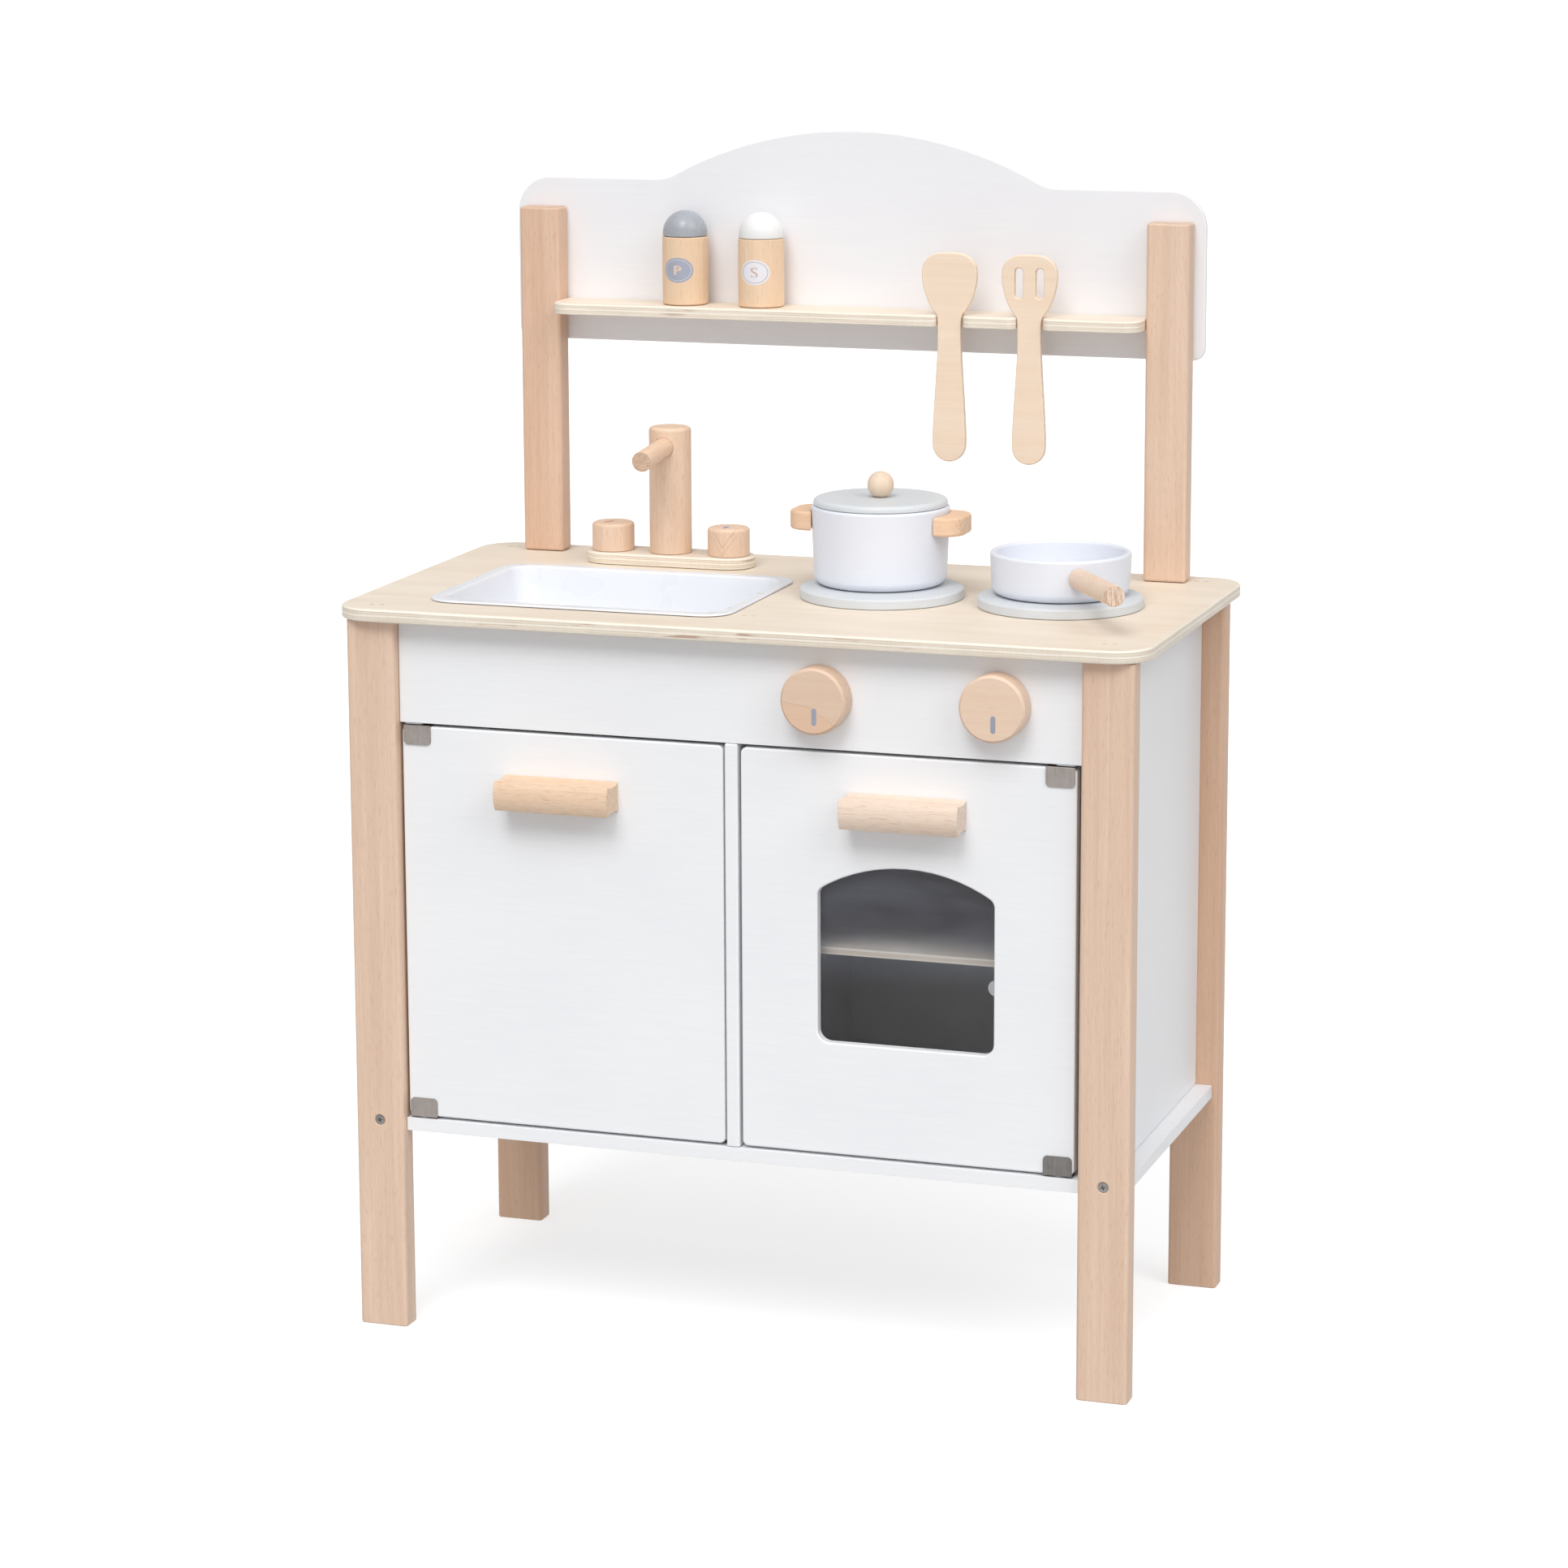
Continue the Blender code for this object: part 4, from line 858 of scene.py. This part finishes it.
def build_tap():
    low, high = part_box("faucet_base")
    half = (high.y - low.y) / 2
    centre_y = (high.y + low.y) / 2
    right = arc((high.x - half, centre_y), half, -pi / 2, pi / 2, 32)
    left = arc((low.x + half, centre_y), half, pi / 2, 3 * pi / 2, 32)
    ply = plywood("birch_ply_tap_base", "z", low.z, high.z, "x", *COUNTER_FACE)
    low_post, high_post, post, radius = round_box("faucet_post")
    uprights = ("tap_knob_hot", "faucet_post", "tap_knob_cold")
    sockets = [circle(middle_of(node), 0.005, 32) for node in uprights]
    plate("tap_deck", "faucet_base", ply, [right + left, *sockets], "z", 0.0011)

    seat = high.z + 0.0003
    height = high_post.z - seat
    spigot = [(0.0047, 0, 0), (0.0047, low_post.z - seat, 0.0004), (0, low_post.z - seat, 0)]
    column = rounded([(0, height, 0), (radius, height, 0.0028), (radius, 0, 0.0003), *spigot], closed=False,
                     steps=8)
    column = turned_mesh(column, Matrix.Translation((post.x, post.y, seat)), 128)
    drop = radians(5)
    forwards = Matrix.Rotation(pi / 2 + drop, 4, "X")
    sunk, reach, spout_z = 0.007, 0.058, 0.5843
    root = Vector((post.x, post.y, spout_z)) + forwards @ Vector((0, 0, sunk))
    place = Matrix.Translation(root) @ forwards
    length = reach / cos(drop) - sunk
    socket = turned_mesh([(0, length), (0.0072, length), (0.0072, -0.0004), (0, -0.0004)], place, 48)
    finish("tap_post", carved(column, [socket]), TAP_WOOD, "tap_swivel", ["faucet_post"])
    corners = [(0, length, 0), (0.007, length, 0.0004), (0.007, 0, 0.0004), (0, 0, 0)]
    turned("tap_spout", "faucet_spout", SPOUT_WOOD, corners, place, 96, 3)

    taps = {"hot": (TAP_WOOD, srgb(204, 118, 104), -0.5), "cold": (COLD_WOOD, srgb(140, 156, 198), 0.0)}
    for name, (material, ink, angle) in taps.items():
        node = f"tap_knob_{name}"
        low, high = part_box(node)
        centre = middle_of(node)
        height = high.z - seat
        corners = [(0, height, 0), (radius, height, 0.0024), (radius, 0, 0.0003), *spigot]
        turned(f"turned_{node}", node, material, corners, (centre.x, centre.y, seat), 128, 8)
        mark = stadium((centre.x - 0.0010, centre.y - 0.003), 0.0013, 0.0046)
        turn = Matrix.Rotation(angle, 2)
        mark = [centre.xy + turn @ (p - centre.xy) for p in mark]
        mesh = plate_mesh([mark], "z", (high.z - 0.0002, high.z + 0.00006), 0.00002)
        finish(f"{node}_mark", mesh, ink_paint(f"{name}_ink", ink, 0.9), BODY_OF[node])


# ---------------------------------------------------------------- sink, hob and cookware

def build_sink():
    """A vacuum-formed bowl with a rolled rim: rings from rim to floor, then thickened."""
    low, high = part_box("sink_basin")
    half_x, half_y = (high.x - low.x) / 2, (high.y - low.y) / 2
    depth = high.z - low.z - 0.0016
    profile = rounded([(0, -0.0013, 0), (0, 0, 0.0010), (0.0090, 0, 0.0022), (0.0182, -depth, 0.0075),
                       (0.045, -depth, 0)], closed=False, steps=8)
    work = bmesh.new()
    loops = []
    for inset, z in profile:
        corner = max(0.0200 - 0.45 * inset, 0.010)
        outline = rectangle((-half_x + inset, half_x - inset), (-half_y + inset, half_y - inset), corner, 14)
        loops.append([work.verts.new((p.x, p.y, z)) for p in outline])
    for outer, inner in zip(loops, loops[1:]):
        for i in range(len(outer)):
            j = (i + 1) % len(outer)
            work.faces.new((outer[i], outer[j], inner[j], inner[i]))
    work.faces.new(loops[-1])
    centre = (low + high) / 2
    guide = guide_object(mesh_from(work, "sink"), Matrix.Translation((centre.x, centre.y, high.z)))
    wall = guide.modifiers.new("wall", "SOLIDIFY")
    wall.thickness = 0.0013
    wall.offset = -1
    finish("moulded_sink", taken(guide), SINK_WHITE, "sink", ["sink_basin"], sharp=60)


def build_hob():
    for side in ("left", "right"):
        node = f"hob_disc_{side}"
        low, high, centre, radius = round_box(node)
        thick = high.z - low.z
        corners = [(0, thick, 0), (radius, thick, 0.0014), (radius, 0, 0.0006), (0, 0, 0)]
        turned(f"burner_{side}", node, GREY, corners, (centre.x, centre.y, low.z), 160, 5)


def vessel(name, node, foot_radius, corner):
    """A round painted vessel that widens from its foot.  The result is its base's centre and its radius."""
    low, high, centre, radius = round_box(node)
    height = high.z - low.z
    wall, floor = 0.0045, 0.005
    corners = [(0, floor, 0), (foot_radius - wall, floor, 0.004), (radius - wall, height, 0.0020),
               (radius, height, 0.0020), (foot_radius, 0, corner), (0, 0, 0)]
    turned(name, node, POT_WHITE, corners, (centre.x, centre.y, low.z), 160, 8)
    return Vector((centre.x, centre.y, low.z)), radius


def build_pot():
    base, radius = vessel("enamel_pot", "pot_body", 0.0446, 0.0065)
    for side, sign in (("left", -1), ("right", 1)):
        node = f"pot_handle_{side}"
        low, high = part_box(node)
        far = high.x if sign > 0 else low.x
        near = base.x + sign * 0.0385
        corners = [(near, low.y, 0), (far, low.y, 0.014), (far, high.y, 0.014), (near, high.y, 0)]
        grip = plate_mesh([rounded(corners, steps=16)], "z", (low.z, high.z), 0.0020)
        reach = 0.0472
        hollow = turned_mesh([(0, 0.05), (reach, 0.05), (reach, 0), (0, 0)],
                             Matrix.Translation((base.x, base.y, low.z - 0.01)), 128)
        finish(f"pot_ear_{side}", carved(grip, [hollow]), EAR_WOOD, BODY_OF[node], [node])

    low, high, _, radius = round_box("pot_lid")
    plug, plug_radius = 0.0045, 0.0415
    rim = low.z + plug
    thick = high.z - rim
    corners = [(0, thick, 0), (radius, thick, 0.0030), (radius, 0, 0.0006), (plug_radius, 0, 0.0003),
               (plug_radius, -plug, 0.0008), (0, -plug, 0)]
    turned("painted_lid", "pot_lid", GREY, corners, (base.x, base.y, rim), 160, 8)
    low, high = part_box("pot_lid_knob")
    ball = 0.0090
    middle = high.z - low.z - ball
    foot = -pi / 2 + sqrt(max(ball ** 2 - middle ** 2, 0)) / ball
    profile = [(max(ball * cos(a), 0), middle + ball * sin(a))
               for a in [pi / 2 + (foot - pi / 2) * i / 28 for i in range(29)]]
    profile[0] = (0, middle + ball)
    mesh = turned_mesh([*profile, (0, 0)], Matrix.Translation((base.x, base.y, low.z)), 64)
    finish("ball_knob", mesh, BALL_WOOD, "lid", ["pot_lid_knob"])


def build_pan():
    base, radius = vessel("enamel_pan", "pan_body", 0.0458, 0.0065)
    turn, rise = radians(29.9), radians(2.3)
    axis = Matrix.Rotation(turn, 4, "Z") @ Matrix.Rotation(pi / 2 - rise, 4, "X")
    root = base + Vector((0, 0, 0.0152))
    start, end = 0.044, radius + 0.087
    corners = [(0, end, 0), (0.007, end, 0.0005), (0.007, start, 0), (0, start, 0)]
    rod = turned_mesh(rounded(corners, closed=False, steps=4), Matrix.Identity(4), 96)
    hollow = turned_mesh([(0, 0.06), (radius + 0.0003, 0.06), (radius + 0.0003, 0), (0, 0)],
                         Matrix.Translation((0, 0, -0.03)), 128)
    hollow.transform(axis.inverted())
    rod = carved(rod, [hollow])
    rod.transform(Matrix.Translation(root) @ axis)
    finish("pan_grip", rod, PAN_WOOD, "pan", ["pan_handle"])


# ---------------------------------------------------------------- shakers and utensils

def wrapped(mesh, centre, radius, azimuth):
    """Bend a flat mesh (x along the arc, y up, z outwards) round a shaker's side."""
    for vert in mesh.vertices:
        angle = azimuth + vert.co.x / radius
        reach = radius + vert.co.z
        vert.co = (centre.x + reach * sin(angle), centre.y - reach * cos(angle), centre.z + vert.co.y)
    return mesh


def oval(width, height, lift, inner=0.0):
    """A flat oval or oval ring with enough points to bend."""
    work = bmesh.new()
    rings = []
    for k in range(7):
        share = inner + (1 - inner) * k / 6
        rings.append([work.verts.new((width / 2 * share * cos(2 * pi * i / 64),
                                      height / 2 * share * sin(2 * pi * i / 64), lift)) for i in range(64)]
                     if share else [work.verts.new((0, 0, lift))])
    for small, large in zip(rings, rings[1:]):
        for i in range(64):
            j = (i + 1) % 64
            if len(small) == 1:
                work.faces.new((small[0], large[i], large[j]))
            else:
                work.faces.new((small[i], large[i], large[j], small[j]))
    return mesh_from(work, "oval")


def letter(text, size, lift, bold):
    """A plain capital letter, flat, centred on the origin."""
    curve = bpy.data.curves.new("letter", "FONT")
    curve.body = text
    curve.size = size
    curve.align_x = "CENTER"
    curve.align_y = "CENTER"
    curve.offset = bold
    curve.resolution_u = 8
    mesh = taken(guide_object(curve))
    work = bmesh.new()
    work.from_mesh(mesh)
    bmesh.ops.triangulate(work, faces=work.faces)
    middle_x = (max(v.co.x for v in work.verts) + min(v.co.x for v in work.verts)) / 2
    middle_y = (max(v.co.y for v in work.verts) + min(v.co.y for v in work.verts)) / 2
    bmesh.ops.translate(work, vec=(-middle_x, -middle_y, lift), verts=work.verts)
    work.to_mesh(mesh)
    work.free()
    return mesh


def build_shakers():
    caps = {"pepper": (SLATE, "slate_paint"), "salt": (SALT_WHITE, "white_paint")}
    for name, (cap_paint, slot) in caps.items():
        low, high, centre, radius = round_box(f"{name}_body")
        height = high.z - low.z
        spigot, step = 0.0083, height - 0.006
        corners = [(0, step, 0), (spigot, step, 0), (spigot, height, 0.0003), (radius, height, 0.0009),
                   (radius, 0, 0.0014), (0, 0, 0)]
        turned(f"{name}_shaker", f"{name}_body", SHAKER_WOOD, corners, (centre.x, centre.y, low.z),
               96, 5)
        low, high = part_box(f"{name}_cap")
        seat = centre.z + height / 2 + 0.0003
        rise = high.z - seat
        dome, crown, plug = radius - 0.0004, 0.0160, 0.0080
        angles = [pi / 2 * (1 - i / 24) for i in range(25)]
        profile = [(dome * cos(a), rise - crown + crown * sin(a)) for a in angles]
        profile[0] = (0, rise)
        foot = [(dome, 0.0005), (dome - 0.0004, 0), (plug, 0), (plug, low.z - seat), (0, low.z - seat)]
        mesh = turned_mesh([*profile, *foot], Matrix.Translation((centre.x, centre.y, seat)), 96)
        finish(f"{name}_dome", mesh, cap_paint, BODY_OF[f"{name}_cap"], [f"{name}_cap"])

    labels = {
        "pepper": (0.0, "P", srgb(166, 170, 186), srgb(206, 204, 208), srgb(226, 204, 182), 0.00030, 0.0086),
        "salt": (1.1, "S", srgb(236, 234, 240), srgb(190, 182, 182), srgb(205, 178, 158), 0.0, 0.0102),
    }
    for name, (azimuth, text, ground, line, ink, bold, size) in labels.items():
        centre, radius = round_box(f"{name}_body")[2:]
        spot = Vector((centre.x, centre.y, 0.7044))
        sign = letter(text, size, 0.00010, bold)
        sign.transform(Matrix.Diagonal((1.3, 1, 1, 1)))
        layers = [("ground", oval(0.0224, 0.0174, 0.00004), ground),
                  ("ring", oval(0.0196, 0.0150, 0.00007, inner=0.94), line),
                  ("letter", sign, ink)]
        for part, mesh, colour in layers:
            finish(f"{name}_label_{part}", wrapped(mesh, spot, radius, radians(azimuth)),
                   ink_paint(f"{name}_{part}_ink", colour, 0.95), BODY_OF[f"{name}_body"])


# One side of a utensil, from the middle of its paddle's top, over the shoulder and down the grip:
# half its width, and the height above the paddle's lower corner.
PADDLE_SIDE = [
    (0.0, 0.0427), (0.0055, 0.0425), (0.0102, 0.0417), (0.0140, 0.0398), (0.0172, 0.0367),
    (0.0190, 0.0329), (0.0195, 0.0275), (0.0192, 0.0230), (0.0186, 0.0199), (0.0172, 0.0145),
    (0.0155, 0.0099), (0.0135, 0.0060), (0.0113, 0.0029), (0.0092, 0.0), (0.0084, -0.0041),
    (0.00825, -0.0120), (0.0084, -0.0250), (0.0096, -0.0460), (0.0110, -0.0680), (0.0117, -0.0831),
    (0.0116, -0.0892),
]


def build_utensils():
    for node, name in (("spatula", "flat_spatula"), ("slotted_turner", "slot_turner")):
        low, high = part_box(node)
        x = (low.x + high.x) / 2
        rest = high.z - PADDLE_SIDE[0][1]
        end = arc((0, -0.0892), 0.0116, 0, -pi / 2, 12)[1:]
        right = flowing(PADDLE_SIDE, 4) + end
        left = [Vector((-p.x, p.y)) for p in reversed(right[1:-1])]
        outline = [Vector((x + p.x, rest + p.y)) for p in reversed(right + left)]
        holes = []
        if node == "slotted_turner":
            for slot_x in (x - 0.0074, x + 0.0074):
                sides, ends = (slot_x - 0.003, slot_x + 0.003), (rest + 0.0129, rest + 0.0334)
                holes.append(rectangle(sides, ends, 0.0029, 8))
        plate(name, node, SPOON_WOOD, [outline, *holes], "y", 0.0010)


# ---------------------------------------------------------------- stage, lights and camera

def studio_surface(name, work, cloud_scale, glow):
    """A pale surface of the room that glows by itself and throws no light on the kitchen."""
    mesh = mesh_from(work, name)
    g = Graph(name, Roughness=0.9)
    cloud = g.noise((cloud_scale, cloud_scale, cloud_scale))
    g.set("Base Color", g.blend(cloud, srgb(196, 195, 195), srgb(199, 198, 198)))
    g.set("Emission Color", FULL)
    g.set("Emission Strength", glow)
    mesh.materials.append(g.material)
    surface = bpy.data.objects.new(name, mesh)
    bpy.context.scene.collection.objects.link(surface)
    surface.visible_diffuse = False
    return surface


def build_stage():
    work = bmesh.new()
    bmesh.ops.create_grid(work, x_segments=1, y_segments=1, size=90)
    floor = studio_surface("studio_floor", work, 1.5, 0.58)

    work = bmesh.new()
    bmesh.ops.create_cone(work, segments=96, radius1=14, radius2=14, depth=28, cap_ends=False)
    backdrop = studio_surface("studio_backdrop", work, 0.1, 1.02)
    backdrop.visible_glossy = False
    backdrop.visible_transmission = False
    backdrop.visible_shadow = False


def sun(name, azimuth, elevation, spread, strength):
    """A soft, distant light.  Azimuth runs from the front towards +X, and strength 1 lights white fully."""
    light = bpy.data.lights.new(name, "SUN")
    light.angle = radians(spread)
    light.energy = strength * pi
    a, e = radians(azimuth), radians(elevation)
    towards = Vector((sin(a) * cos(e), -cos(a) * cos(e), sin(e)))
    lamp = bpy.data.objects.new(name, light)
    lamp.rotation_euler = (-towards).to_track_quat("-Z", "Y").to_euler()
    bpy.context.scene.collection.objects.link(lamp)


def build_lights():
    world = bpy.data.worlds.new("studio")
    world.use_nodes = True
    background = world.node_tree.nodes["Background"]
    background.inputs["Color"].default_value = FULL
    background.inputs["Strength"].default_value = 0.44
    bpy.context.scene.world = world
    sun("key", 0, 50, 30, 0.46)
    sun("top", 0, 80, 60, 0.14)
    sun("right_fill", 62, 40, 40, 0.30)
    sun("low_front", 10, 8, 50, 0.05)
    sun("fill", 2, 1, 8, 0.045)


def build_camera():
    azimuth, elevation, roll = radians(18.593), radians(11.039), radians(-0.215)
    back = Vector((sin(azimuth) * cos(elevation), -cos(azimuth) * cos(elevation), sin(elevation)))
    level = (-back).cross(Vector((0, 0, 1))).normalized()
    upright = level.cross(-back)
    right = level * cos(roll) + upright * sin(roll)
    up = upright * cos(roll) - level * sin(roll)
    lens = bpy.data.cameras.new("camera")
    lens.lens = 105.47
    lens.sensor_width = 36
    lens.shift_y = -0.0600
    lens.clip_end = 200
    camera = bpy.data.objects.new("camera", lens)
    turn = Matrix((right, up, back)).transposed().to_4x4()
    camera.matrix_world = Matrix.Translation((0.9670, -2.8968, 1.0290)) @ turn
    bpy.context.scene.collection.objects.link(camera)
    bpy.context.scene.camera = camera


build_frame()
build_worktop()
build_backboard()
build_utensil_shelf()
build_doors()
build_controls()
build_tap()
build_sink()
build_hob()
build_pot()
build_pan()
build_shakers()
build_utensils()
build_stage()
build_lights()
build_camera()
bpy.context.scene.view_settings.view_transform = "Standard"
bpy.context.scene.view_settings.look = "None"
